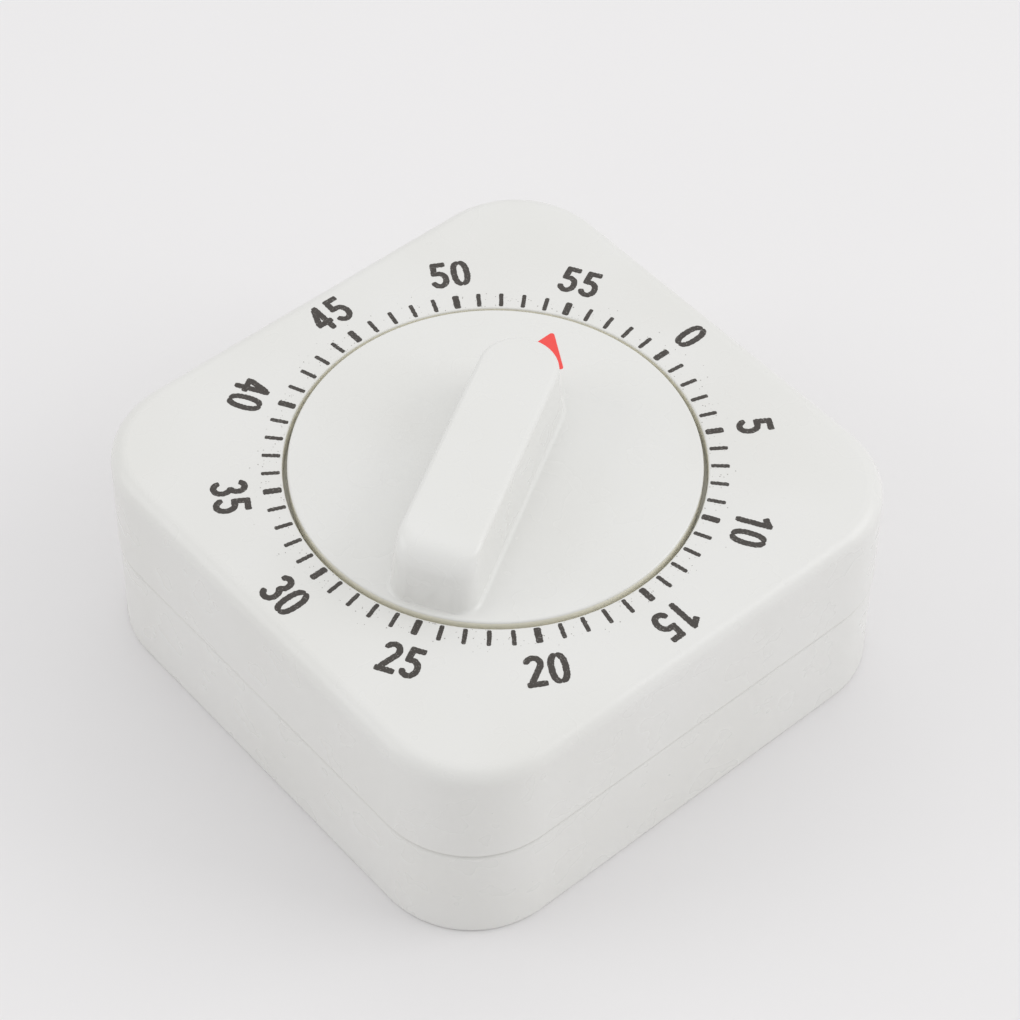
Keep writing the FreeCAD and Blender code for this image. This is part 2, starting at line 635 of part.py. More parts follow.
def make_main_arbor():
    """Main arbor: the spring, the main wheel and the ratchet sit on it, and the dial drives it."""
    shaft = arbor(Vec(0, 0, 0), plate_low + FREE_GAP, hub_bottom, MAIN_ARBOR_RADIUS,
                  MAIN_PIVOT_RADIUS)
    end = arbor_end(0, hub_bottom - PLATE_THICKNESS, arbor_top)
    end.rotate(Vec(0, 0, 0), UP, GRIP_ANGLE)
    return shaft.fuse(end).removeSplitter()


def make_alarm_cam():
    """Disc with one notch that lets the hammer lever drop at the zero position."""
    cam = ring(CAM_RADIUS, MAIN_PIVOT_RADIUS + PRESS_GAP, cam_low, cam_high)
    at_zero = angle_of(finger_tip())
    middle = at_zero + GRIP_ANGLE - 90
    notch = [polar(CAM_RADIUS - CAM_NOTCH_DEPTH, middle - CAM_NOTCH_HALF_ANGLE / 2),
             polar(CAM_RADIUS + 1, middle - CAM_NOTCH_HALF_ANGLE),
             polar(CAM_RADIUS + 1, middle + CAM_NOTCH_HALF_ANGLE),
             polar(CAM_RADIUS - CAM_NOTCH_DEPTH, middle + CAM_NOTCH_HALF_ANGLE / 2)]
    return cam.cut(polygon_prism(notch, cam_low, cam_high))


# ---------------------------------------------------------------- movement frame
def pivot_places():
    """Place and hole radius of each pivot in the two plates."""
    small = PIVOT_RADIUS + RUNNING_GAP
    places = [(p, small) for p in (second_place, third_place, escape_place, balance_place,
                                   hammer_place)]
    return places + [(Vec(0, 0, 0), MAIN_PIVOT_RADIUS + RUNNING_GAP)]


def make_plate(z_low):
    """Movement plate with its pivot holes and pillar holes."""
    plate = prism(rounded_square(plate_width, PLATE_CORNER, z_low), PLATE_THICKNESS)
    z_high = z_low + PLATE_THICKNESS
    for place, radius in pivot_places():
        plate = plate.cut(disc(radius, z_low, z_high, place))
    for place in corner_places(pillar_place):
        plate = plate.cut(disc(PILLAR_STUD_RADIUS + PRESS_GAP, z_low, z_high, place))
    return plate


def make_bottom_plate():
    """Lower plate, which also takes the mainspring's post."""
    return make_plate(plate_low).cut(disc(SPRING_POST_RADIUS / 2 + PRESS_GAP, plate_low, inside_low,
                                          spring_post_place))


def make_top_plate():
    """Upper plate, which also takes the movement screws."""
    plate = make_plate(inside_high)
    for place in movement_screw_places():
        plate = plate.cut(disc(MOVEMENT_SCREW_RADIUS + FREE_GAP, inside_high, plate_high, place))
    return plate


def make_pillar(place):
    """Pillar with a threaded stud at each end."""
    stud = disc(PILLAR_STUD_RADIUS, plate_low - NUT_HEIGHT, plate_high + NUT_HEIGHT, place)
    return disc(PILLAR_RADIUS, inside_low, inside_high, place).fuse(stud).removeSplitter()


def make_nut(place, z_low):
    """Hexagon nut on a pillar's stud."""
    points = [place.add(polar(nut_corner, 60 * i)) for i in range(6)]
    body = polygon_prism(points, z_low, z_low + NUT_HEIGHT)
    return body.cut(disc(PILLAR_STUD_RADIUS + PRESS_GAP, z_low, z_low + NUT_HEIGHT, place))


def make_pillar_nuts():
    """Nuts above and below the plates."""
    heights = (plate_low - NUT_HEIGHT, plate_high)
    return Part.makeCompound([make_nut(p, z) for p in corner_places(pillar_place) for z in heights])


def make_spring_post():
    """Post riveted in the bottom plate that holds the mainspring's outer end."""
    top = inside_low + MAINSPRING_RISE + MAINSPRING_HEIGHT + FREE_GAP
    post = disc(SPRING_POST_RADIUS, inside_low, top, spring_post_place)
    rivet = disc(SPRING_POST_RADIUS / 2, plate_low, inside_low, spring_post_place)
    return post.fuse(rivet).removeSplitter()


# ---------------------------------------------------------------- winding
def make_mainspring():
    """Flat spiral mainspring round the main arbor."""
    low = inside_low + MAINSPRING_RISE
    start = SPRING_POST_ANGLE - 360 * MAINSPRING_TURNS
    return spiral_strip(mainspring_inner, mainspring_outer, MAINSPRING_TURNS, start,
                        MAINSPRING_THICKNESS, low, low + MAINSPRING_HEIGHT)


main_wheel_low = inside_low + main_wheel_rise
main_wheel_high = main_wheel_low + MAIN_WHEEL_THICKNESS
ratchet_low = inside_low + ratchet_rise
ratchet_high = ratchet_low + RATCHET_THICKNESS


def make_wheel_clip():
    """Ring on the arbor that keeps the main wheel at its height."""
    low = inside_low + clip_rise
    return ring(MAIN_ARBOR_RADIUS + CLIP_WIDTH, MAIN_ARBOR_RADIUS + PRESS_GAP, low,
                low + CLIP_THICKNESS)


def make_main_wheel():
    """Main wheel, which runs loose on the arbor and carries the click."""
    wheel = toothed_wheel(MAIN_TEETH, MAIN_MODULE, 0, main_wheel_low, main_wheel_high, Vec(0, 0, 0),
                          WHEEL_ADDENDUM, WHEEL_DEDENDUM)
    wheel = wheel.cut(disc(MAIN_ARBOR_RADIUS + RUNNING_GAP, main_wheel_low, main_wheel_high))
    return wheel.cut(disc(CLICK_PIN_RADIUS + PRESS_GAP, main_wheel_low, main_wheel_high, click_place))


def make_ratchet_wheel():
    """Ratchet wheel that is fixed on the main arbor."""
    wheel = saw_wheel(RATCHET_TEETH, RATCHET_RADIUS, RATCHET_TOOTH_DEPTH, 0.15, 0, ratchet_low,
                      ratchet_high, Vec(0, 0, 0))
    return wheel.cut(disc(MAIN_ARBOR_RADIUS + PRESS_GAP, ratchet_low, ratchet_high))


def click_beak():
    """Middle of the click's rounded beak, just outside the ratchet's teeth."""
    return polar(RATCHET_RADIUS + CLICK_BEAK_RADIUS + FREE_GAP, CLICK_REACH_ANGLE)


def make_click():
    """Pawl that turns on its pin on the main wheel."""
    eye = disc(CLICK_EYE_RADIUS, ratchet_low, ratchet_high, click_place)
    arm = bar(click_place, click_beak(), 2 * CLICK_BEAK_RADIUS, ratchet_low, ratchet_high)
    pawl = eye.fuse(arm).removeSplitter()
    return pawl.cut(disc(CLICK_PIN_RADIUS + RUNNING_GAP, ratchet_low, ratchet_high, click_place))


def make_click_pin():
    """Shouldered rivet that the click turns on."""
    stem = disc(CLICK_PIN_RADIUS, main_wheel_low, ratchet_high + FREE_GAP, click_place)
    head = disc(CLICK_EYE_RADIUS, ratchet_high + FREE_GAP,
                ratchet_high + FREE_GAP + CLICK_PIN_HEAD, click_place)
    return stem.fuse(head).removeSplitter()


def make_click_spring():
    """Bent leaf on the main wheel that leans on the back of the click."""
    beak = click_beak()
    back = polar(1, angle_of(beak.sub(click_place)) - 90)
    offset = CLICK_BEAK_RADIUS + CLICK_SPRING_THICKNESS / 2 + FREE_GAP / 2
    middle = click_place.add(beak).multiply(0.5)
    rest_point = middle.add(Vec(back).multiply(offset))
    foot = rest_point.add(Vec(back).multiply(2.2)).add(polar(4.0, angle_of(click_place.sub(beak)) + 180))
    leaf = bar(rest_point, foot, CLICK_SPRING_THICKNESS, main_wheel_high, ratchet_high)
    return leaf.fuse(disc(CLICK_PIN_RADIUS, main_wheel_high, ratchet_high, foot)).removeSplitter()


# ---------------------------------------------------------------- train
second_wheel_low = inside_low + second_wheel_rise
third_wheel_low = inside_low + THIRD_WHEEL_RISE
escape_wheel_low = inside_low + escape_wheel_rise
ring_wheel_low = inside_low + ring_wheel_rise
second_phase = pinion_phase(MAIN_TEETH, 0, SECOND_ANGLE)
third_phase = pinion_phase(SECOND_TEETH, second_phase, angle_of(third_place.sub(second_place)))
escape_phase = pinion_phase(THIRD_TEETH, third_phase, angle_of(escape_place.sub(third_place)))


def make_pinion_arbor(place, module, phase, wheel_low, wheel_thickness):
    """Arbor with the pinion that meshes with the wheel at the given height."""
    pinion = toothed_wheel(PINION_LEAVES, module, phase, wheel_low - PINION_OVERLAP,
                           wheel_low + wheel_thickness + PINION_OVERLAP, place,
                           PINION_ADDENDUM, PINION_DEDENDUM)
    return train_arbor(place, pinion)


def make_train_wheel(teeth, module, phase, z_low, place, windows):
    """Thin wheel pressed on its arbor, with round windows."""
    z_high = z_low + WHEEL_THICKNESS
    wheel = toothed_wheel(teeth, module, phase, z_low, z_high, place, WHEEL_ADDENDUM, WHEEL_DEDENDUM)
    wheel = wheel.cut(disc(ARBOR_RADIUS + PRESS_GAP, z_low, z_high, place))
    pitch_radius = teeth * module / 2
    return lightened(wheel, windows, pitch_radius * 0.55, pitch_radius * 0.24, z_low, z_high, place)


def make_escape_wheel():
    """Escape wheel with pointed, leaning teeth."""
    z_high = escape_wheel_low + WHEEL_THICKNESS
    wheel = saw_wheel(ESCAPE_TEETH, ESCAPE_RADIUS, ESCAPE_TOOTH_DEPTH, 0.3, escape_phase,
                      escape_wheel_low, z_high, escape_place)
    return wheel.cut(disc(ARBOR_RADIUS + PRESS_GAP, escape_wheel_low, z_high, escape_place))


def make_ring_wheel():
    """Coarse wheel on the second arbor that knocks the hammer's tail."""
    z_high = ring_wheel_low + RING_WHEEL_THICKNESS
    wheel = saw_wheel(RING_TEETH, RING_RADIUS, RING_TOOTH_DEPTH, 0.2, second_phase, ring_wheel_low,
                      z_high, second_place)
    return wheel.cut(disc(ARBOR_RADIUS + PRESS_GAP, ring_wheel_low, z_high, second_place))


# ---------------------------------------------------------------- escapement
balance_low = inside_low + balance_rise
pallet_arm_low = escape_wheel_low + WHEEL_THICKNESS + FREE_GAP


def make_balance_staff():
    """Plain staff of the balance."""
    return arbor(balance_place, plate_low, plate_high)


def make_balance_wheel():
    """Heavy rim with three spokes that sets the beat."""
    high = balance_low + BALANCE_THICKNESS
    wheel = ring(BALANCE_RADIUS, BALANCE_RADIUS - BALANCE_RIM, balance_low, high, balance_place)
    for i in range(3):
        end = balance_place.add(polar(BALANCE_RADIUS - BALANCE_RIM / 2, 120 * i))
        wheel = wheel.fuse(bar(balance_place, end, BALANCE_SPOKE_WIDTH, balance_low, high))
    wheel = wheel.fuse(disc(BALANCE_HUB_RADIUS, balance_low, high, balance_place)).removeSplitter()
    return wheel.cut(disc(ARBOR_RADIUS + PRESS_GAP, balance_low, high, balance_place))


def pallet_places():
    """Places of the two pallet pins, just outside the escape wheel's tips."""
    reach = ESCAPE_RADIUS + PALLET_PIN_CLEARANCE + PALLET_PIN_RADIUS
    towards = angle_of(balance_place.sub(escape_place))
    return [escape_place.add(polar(reach, towards + side * PALLET_PIN_ANGLE)) for side in (-1, 1)]


def make_pallet_lever():
    """Two-armed lever on the staff that carries the pallet pins."""
    high = pallet_arm_low + PALLET_ARM_THICKNESS
    lever = disc(BALANCE_HUB_RADIUS, pallet_arm_low, high, balance_place)
    for place in pallet_places():
        lever = lever.fuse(bar(balance_place, place, PALLET_ARM_WIDTH, pallet_arm_low, high))
    lever = lever.removeSplitter().cut(disc(ARBOR_RADIUS + PRESS_GAP, pallet_arm_low, high,
                                            balance_place))
    for place in pallet_places():
        lever = lever.cut(disc(PALLET_PIN_RADIUS + PRESS_GAP, pallet_arm_low, high, place))
    return lever


def make_pallet_pins():
    """Hardened pins that the escape wheel pushes."""
    low = escape_wheel_low - FREE_GAP
    return Part.makeCompound([disc(PALLET_PIN_RADIUS, low, pallet_arm_low + PALLET_ARM_THICKNESS, p)
                              for p in pallet_places()])


# ---------------------------------------------------------------- alarm
def finger_tip():
    """Middle of the finger's rounded tip, just outside the cam's edge."""
    distance = CAM_RADIUS + FINGER_TIP_RADIUS + FREE_GAP
    arm = math.sqrt(hammer_circle ** 2 - distance ** 2)
    return reach_point(hammer_place, Vec(0, 0, 0), distance, arm, -1)


def head_place():
    """Middle of the hammer head, just clear of the bell."""
    distance = BELL_RADIUS + HAMMER_TO_BELL + HAMMER_HEAD_RADIUS
    return reach_point(hammer_place, bell_centre, distance, HAMMER_ARM_LENGTH, -1)


def tail_place():
    """Middle of the tail's tip, just clear of the ring wheel."""
    distance = RING_RADIUS + TAIL_WIDTH / 2 + 2 * FREE_GAP
    return reach_point(hammer_place, second_place, distance, TAIL_LENGTH, -1)


hammer_arm_high = plate_low - HAMMER_ARM_DROP + HAMMER_ARM_THICKNESS
finger_low = cam_low + (CAM_THICKNESS - FINGER_THICKNESS) / 2


def make_hammer_arbor():
    """Arbor that passes through both plates and carries the hammer's three arms."""
    low = plate_low - HAMMER_ARM_DROP
    return arbor(hammer_place, low, finger_low + FINGER_THICKNESS)


def lever_arm(tip, width, tip_radius, z_low, z_high, bore):
    """Flat arm from the hammer arbor to a tip, with an eye that is pressed on the arbor."""
    eye = disc(ARBOR_RADIUS + 2 * tip_radius, z_low, z_high, hammer_place)
    arm = eye.fuse(bar(hammer_place, tip, width, z_low, z_high))
    arm = arm.fuse(disc(tip_radius, z_low, z_high, tip)).removeSplitter()
    return arm.cut(disc(bore + PRESS_GAP, z_low, z_high, hammer_place))


def make_hammer_finger():
    """Arm that feels the alarm cam."""
    return lever_arm(finger_tip(), 2 * FINGER_TIP_RADIUS, FINGER_TIP_RADIUS, finger_low,
                     finger_low + FINGER_THICKNESS, PIVOT_RADIUS)


def make_hammer_tail():
    """Arm that the ring wheel knocks."""
    return lever_arm(tail_place(), TAIL_WIDTH, TAIL_WIDTH / 2, ring_wheel_low,
                     ring_wheel_low + TAIL_THICKNESS, ARBOR_RADIUS)


def make_hammer_arm():
    """Arm under the bottom plate that carries the hammer head."""
    arm = lever_arm(head_place(), HAMMER_ARM_WIDTH, HAMMER_ARM_WIDTH / 2,
                    hammer_arm_high - HAMMER_ARM_THICKNESS, hammer_arm_high, PIVOT_RADIUS)
    return arm.cut(disc(HAMMER_HEAD_RADIUS / 2 + PRESS_GAP, hammer_arm_high - HAMMER_ARM_THICKNESS,
                        hammer_arm_high, head_place()))


def make_hammer_head():
    """Turned weight riveted through the arm."""
    place = head_place()
    high = hammer_arm_high - HAMMER_ARM_THICKNESS
    weight = disc(HAMMER_HEAD_RADIUS, high - HAMMER_HEAD_HEIGHT, high, place)
    return weight.fuse(disc(HAMMER_HEAD_RADIUS / 2, high, hammer_arm_high, place)).removeSplitter()


def make_hammer_spring():
    """Small spiral spring that pulls the finger towards the cam."""
    low = inside_low + HAMMER_SPRING_RISE
    return spiral_strip(ARBOR_RADIUS + FREE_GAP, HAMMER_SPRING_OUTER, HAMMER_SPRING_TURNS, 0,
                        HAMMER_SPRING_THICKNESS, low, low + HAMMER_SPRING_HEIGHT, hammer_place)


def make_bell():
    """Shallow steel cup with a rounded edge, open upwards."""
    cup = disc(BELL_RADIUS, bell_low, bell_top, bell_centre)
    cup = cup.makeFillet(BELL_EDGE, edges_at(cup, bell_low))
    hollow = disc(BELL_RADIUS - BELL_WALL, bell_low + BELL_WALL, bell_top + 1, bell_centre)
    hollow = hollow.makeFillet(BELL_EDGE - BELL_WALL, edges_at(hollow, bell_low + BELL_WALL))
    cup = cup.cut(hollow)
    return cup.cut(disc(BELL_SCREW_RADIUS + FREE_GAP, bell_low, bell_top, bell_centre))


def make_bell_post():
    """Post that stands the bell off the bottom plate."""
    post = disc(BELL_POST_RADIUS, bell_low + BELL_WALL, plate_low, bell_centre)
    return post.cut(disc(BELL_SCREW_RADIUS + PRESS_GAP, bell_low, plate_low - BELL_WALL, bell_centre))


def make_bell_screw():
    """Screw that holds the bell on its post."""
    return make_screw(bell_centre, bell_low, BELL_SCREW_RADIUS, plate_low - 2 * BELL_WALL,
                      BELL_SCREW_HEAD_RADIUS, BELL_SCREW_HEAD)


def make_all():
    """Every piece by its name."""
    pieces = {
        "upper_case": make_upper_case(),
        "lower_case": make_lower_case(),
        "case_screws": make_case_screws(),
        "movement_screws": make_movement_screws(),
        "dial_knob": make_dial_knob(),
        "main_arbor": make_main_arbor(),
        "alarm_cam": make_alarm_cam(),
        "ratchet_wheel": make_ratchet_wheel(),
        "wheel_clip": make_wheel_clip(),
        "main_wheel": make_main_wheel(),
        "click": make_click(),
        "click_pin": make_click_pin(),
        "click_spring": make_click_spring(),
        "top_plate": make_top_plate(),
        "bottom_plate": make_bottom_plate(),
        "pillar_nuts": make_pillar_nuts(),
        "spring_post": make_spring_post(),
        "mainspring": make_mainspring(),
        "second_arbor": make_pinion_arbor(second_place, MAIN_MODULE, second_phase, main_wheel_low,
                                          MAIN_WHEEL_THICKNESS),
        "second_wheel": make_train_wheel(SECOND_TEETH, SECOND_MODULE, second_phase,
                                         second_wheel_low, second_place, 5),
        "ring_wheel": make_ring_wheel(),
        "third_arbor": make_pinion_arbor(third_place, SECOND_MODULE, third_phase, second_wheel_low,
                                         WHEEL_THICKNESS),
        "third_wheel": make_train_wheel(THIRD_TEETH, THIRD_MODULE, third_phase, third_wheel_low,
                                        third_place, 5),
        "escape_arbor": make_pinion_arbor(escape_place, THIRD_MODULE, escape_phase,
                                          third_wheel_low, WHEEL_THICKNESS),
        "escape_wheel": make_escape_wheel(),
        "balance_staff": make_balance_staff(),
        "balance_wheel": make_balance_wheel(),
        "pallet_lever": make_pallet_lever(),
        "pallet_pins": make_pallet_pins(),
        "hammer_arbor": make_hammer_arbor(),
        "hammer_finger": make_hammer_finger(),
        "hammer_tail": make_hammer_tail(),
        "hammer_arm": make_hammer_arm(),
        "hammer_head": make_hammer_head(),
        "hammer_spring": make_hammer_spring(),
        "bell": make_bell(),
        "bell_post": make_bell_post(),
        "bell_screw": make_bell_screw(),
    }
    for i, place in enumerate(corner_places(pillar_place)):
        pieces[f"pillar_{i + 1}"] = make_pillar(place)
    return pieces


os.makedirs("parts", exist_ok=True)
for name, shape in make_all().items():
    piece = shape.Solids[0] if len(shape.Solids) == 1 else Part.makeCompound(shape.Solids)
    box = piece.BoundBox
    print(f"{name}: solids {len(piece.Solids)} valid {piece.isValid()} volume {piece.Volume:.1f} "
          f"z {box.ZMin:.2f} to {box.ZMax:.2f}")
    piece.exportStep(f"parts/{name}.step")
for name, place in (("second", second_place), ("third", third_place), ("escape", escape_place),
                    ("balance", balance_place), ("hammer", hammer_place), ("click", click_place)):
    print(f"axis {name}: {place.x:.6f} {place.y:.6f}")
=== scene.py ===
"""Looks of a wind-up sixty-minute kitchen timer: its dial, its printed scale and its finishes.

Lengths in the classes are in millimetres and angles in degrees, counted counter-clockwise from +X
when seen from above.  MM turns a length into the scene's metres when a mesh is written.
"""

import logging
import math
from collections.abc import Sequence
from dataclasses import dataclass
from enum import Enum

import bmesh
import bpy
import numpy as np
from mathutils import Matrix, Vector, geometry


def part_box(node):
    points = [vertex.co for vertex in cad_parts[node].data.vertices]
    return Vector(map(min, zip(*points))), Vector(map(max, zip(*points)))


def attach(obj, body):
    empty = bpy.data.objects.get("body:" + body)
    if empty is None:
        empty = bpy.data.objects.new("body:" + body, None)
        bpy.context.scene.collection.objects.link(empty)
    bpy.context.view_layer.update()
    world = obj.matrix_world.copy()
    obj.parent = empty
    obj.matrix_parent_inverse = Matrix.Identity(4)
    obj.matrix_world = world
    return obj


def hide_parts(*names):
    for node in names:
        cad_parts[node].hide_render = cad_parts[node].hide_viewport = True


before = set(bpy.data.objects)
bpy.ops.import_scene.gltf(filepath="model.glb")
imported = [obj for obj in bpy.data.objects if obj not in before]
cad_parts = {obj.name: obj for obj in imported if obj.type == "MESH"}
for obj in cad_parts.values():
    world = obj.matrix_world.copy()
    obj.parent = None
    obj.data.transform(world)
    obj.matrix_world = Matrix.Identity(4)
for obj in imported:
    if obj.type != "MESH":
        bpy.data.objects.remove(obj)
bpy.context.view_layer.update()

MM = 0.001
WELD = 1e-4             # points closer than this, in millimetres, are one point
LOG = logging.getLogger("kitchen_timer")

Colour = tuple[float, float, float]


# ---------------------------------------------------------------- sizes read from the frame
def corners(node: str) -> tuple[np.ndarray, np.ndarray]:
    """Lowest and highest corner of a CAD node.

    Args:
        node: name of the CAD node.

    Returns:
        Two arrays of three coordinates, in millimetres.
    """
    low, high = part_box(node)
    return np.array(low) / MM, np.array(high) / MM


def middle(node: str) -> Colour:
    """Middle of a CAD node's box, in metres."""
    low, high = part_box(node)
    return tuple((low + high) / 2)


# ---------------------------------------------------------------- surfaces
def smooth_steps(count: int) -> np.ndarray:
    """Angles from 0 to 90 degrees in equal steps, in radians, both ends included."""
    return np.linspace(0.0, math.pi / 2, count)


def circle(radius: float, count: int) -> np.ndarray:
    """Points of a circle about the origin: radius times the cosine and sine of equal angles."""
    angle = np.linspace(0.0, 2 * math.pi, count, endpoint=False)
    return radius * np.stack([np.cos(angle), np.sin(angle)], axis=-1)


def ellipse_arc(centre: tuple[float, float], radii: tuple[float, float], start: float, end: float,
                count: int = 24) -> np.ndarray:
    """Points along an arc of an ellipse whose axes lie along X and Y.

    Args:
        centre: middle of the ellipse.
        radii: half its size along X and along Y.
        start: first angle, in degrees.
        end: last angle, in degrees; an end below the start runs clockwise.
        count: number of points.

    Returns:
        Array of count points: the centre plus the radii times cosine and sine of the angle.
    """
    angle = np.radians(np.linspace(start, end, count))
    return np.array(centre) + np.array(radii) * np.stack([np.cos(angle), np.sin(angle)], axis=-1)


def straight(start: tuple[float, float], end: tuple[float, float], count: int = 2) -> np.ndarray:
    """Evenly spaced points of a straight line, both ends included."""
    share = np.linspace(0.0, 1.0, count)[:, None]
    return (1 - share) * np.array(start) + share * np.array(end)


def resampled(path: np.ndarray, count: int) -> np.ndarray:
    """The same path with points at equal distances along it.

    Args:
        path: points of the path, one row each.
        count: number of points wanted.

    Returns:
        Array of count points, found by linear interpolation over the length run so far.
    """
    steps = np.linalg.norm(np.diff(path, axis=0), axis=1)
    run = np.concatenate([[0.0], np.cumsum(steps)])
    wanted = np.linspace(0.0, run[-1], count)
    return np.stack([np.interp(wanted, run, path[:, k]) for k in range(path.shape[1])], axis=-1)


def turned(points: np.ndarray, angle: float) -> np.ndarray:
    """Points turned about the origin by an angle in degrees, in the XY plane."""
    c, s = math.cos(math.radians(angle)), math.sin(math.radians(angle))
    out = points.copy()
    out[..., 0] = c * points[..., 0] - s * points[..., 1]
    out[..., 1] = s * points[..., 0] + c * points[..., 1]
    return out


def lifted(loop: np.ndarray, z: float) -> np.ndarray:
    """A flat loop of points at a height."""
    return np.concatenate([loop, np.full((len(loop), 1), z)], axis=1)


def inside(points: np.ndarray, loop: np.ndarray) -> np.ndarray:
    """Whether each point lies in a closed loop, by counting the sides that a ray towards +X meets.

    Args:
        points: array of points to test.
        loop: corners of the closed loop.

    Returns:
        One truth value for each point.
    """
    x, y = points[:, 0:1], points[:, 1:2]
    x0, y0 = loop[:, 0], loop[:, 1]
    x1, y1 = np.roll(x0, -1), np.roll(y0, -1)
    spans = (y0 > y) != (y1 > y)
    rise = np.where(y1 == y0, 1.0, y1 - y0)
    crossing = x0 + (y - y0) * (x1 - x0) / rise
    return (np.sum(spans & (x < crossing), axis=1) % 2) == 1


class Skin:
    """Gathers the surfaces of one piece as whole arrays and joins them into one closed mesh."""

    def __init__(self) -> None:
        """Starts with no points and no faces."""
        self.points: list[np.ndarray] = []
        self.quads: list[np.ndarray] = []
        self.triangles: list[np.ndarray] = []
        self.total = 0

    def add_points(self, points: np.ndarray) -> int:
        """Stores points and gives the number of the first of them."""
        start = self.total
        self.points.append(points.reshape(-1, 3))
        self.total += self.points[-1].shape[0]
        return start

    def band(self, loops: np.ndarray) -> None:
        """Adds a grid of quads that runs from loop to loop and closes round each loop.

        Args:
            loops: array of rows by columns by three, one loop of points in each row.
        """
        rows, columns = loops.shape[:2]
        start = self.add_points(loops)
        row = np.arange(rows - 1)[:, None] * columns
        column = np.arange(columns)[None, :]
        after = (column + 1) % columns
        quads = np.stack([row + column, row + after, row + columns + after, row + columns + column],
                         axis=-1)
        self.quads.append(quads.reshape(-1, 4) + start)

    def plate(self, outer: np.ndarray, holes: Sequence[np.ndarray], z: float) -> None:
        """Adds a flat face between an outer loop and the holes in it.

        Args:
            outer: loop of points round the face.
            holes: loops of points round its holes.
            z: height of the face.
        """
        loops = [outer, *holes]
        flat = np.vstack(loops)
        edges = []
        first = 0
        for loop in loops:
            index = np.arange(len(loop))
            edges.extend(np.stack([index, (index + 1) % len(loop)], axis=-1) + first)
            first += len(loop)
        result = geometry.delaunay_2d_cdt([Vector(p) for p in flat], [tuple(map(int, e)) for e in edges],
                                          [], 1, 1e-7)
        found = np.array([tuple(p) for p in result[0]])
        faces = np.array(result[2])
        centres = found[faces].mean(axis=1)
        keep = inside(centres, outer)
        for hole in holes:
            keep &= ~inside(centres, hole)
        start = self.add_points(lifted(found, z))
        self.triangles.append(faces[keep] + start)

    def build(self, name: str, sharp: float = 40.0) -> bpy.types.Object:
        """Welds the surfaces into one mesh object with its faces pointing outwards.

        Args:
            name: name of the object.
            sharp: edges whose faces meet at more than this angle are shaded as edges.

        Returns:
            The new object, at the origin, in metres.
        """
        points = np.vstack(self.points)
        keys = np.round(points / WELD).astype(np.int64)
        _, first, number = np.unique(keys, axis=0, return_index=True, return_inverse=True)
        number = number.reshape(-1)
        faces = [number[np.vstack(part)].tolist() for part in (self.quads, self.triangles) if part]
        mesh = bpy.data.meshes.new(name)
        mesh.from_pydata((points[first] * MM).tolist(), [], sum(faces, []))
        mesh.validate()
        work = bmesh.new()
        work.from_mesh(mesh)
        bmesh.ops.recalc_face_normals(work, faces=work.faces)
        work.to_mesh(mesh)
        work.free()
        mesh.shade_smooth()
        mesh.set_sharp_from_angle(angle=math.radians(sharp))
        piece = bpy.data.objects.new(name, mesh)
        bpy.context.scene.collection.objects.link(piece)
        return piece


def strokes_mesh(name: str, paths: np.ndarray, half_widths: np.ndarray, low: float,
                 tops: np.ndarray) -> bpy.types.Object:
    """Printed strokes: each is a thin slab that follows its path, with square ends.

    At every point of a path the slab has four corners: the point plus and minus the half width
    along the path's normal, at the low height and at the stroke's top.

    Args:
        name: name of the object.
        paths: array of strokes by points by two.
        half_widths: array of strokes by points by two, half width to the left and to the right.
        low: height of the slabs' undersides.
        tops: height of each stroke's upper face.

    Returns:
        One mesh object that holds every stroke.
    """
    count, steps = paths.shape[:2]
    along = np.gradient(paths, axis=1)
    along /= np.linalg.norm(along, axis=2, keepdims=True)
    normal = np.stack([-along[..., 1], along[..., 0]], axis=-1)
    left = paths + normal * half_widths[..., 0:1]
    right = paths - normal * half_widths[..., 1:2]
    top = np.broadcast_to(tops[:, None], (count, steps))
    bottom = np.full((count, steps), low)
    ring = np.stack([np.concatenate([side, z[..., None]], axis=-1)
                     for side, z in ((left, top), (right, top), (right, bottom), (left, bottom))], axis=2)
    step = np.arange(steps - 1)[:, None] * 4
    corner = np.arange(4)[None, :]
    after = (corner + 1) % 4
    sides = np.stack([step + corner, step + 4 + corner, step + 4 + after, step + after],
                     axis=-1).reshape(-1, 4)
    last = (steps - 1) * 4
    caps = np.array([[0, 1, 2, 3], [last + 3, last + 2, last + 1, last]])
    one = np.vstack([sides, caps])
    faces = (one[None] + (np.arange(count) * steps * 4)[:, None, None]).reshape(-1, 4)
    mesh = bpy.data.meshes.new(name)
    mesh.from_pydata((ring.reshape(-1, 3) * MM).tolist(), [], faces.tolist())
    piece = bpy.data.objects.new(name, mesh)
    bpy.context.scene.collection.objects.link(piece)
    return piece


# ---------------------------------------------------------------- finishes
class Grain(Enum):
    """How the surface of a metal piece was worked."""

    TURNED = "rings round the piece's own axis"
    BRUSHED = "fine lines along X"
    TUMBLED = "even, with no direction"


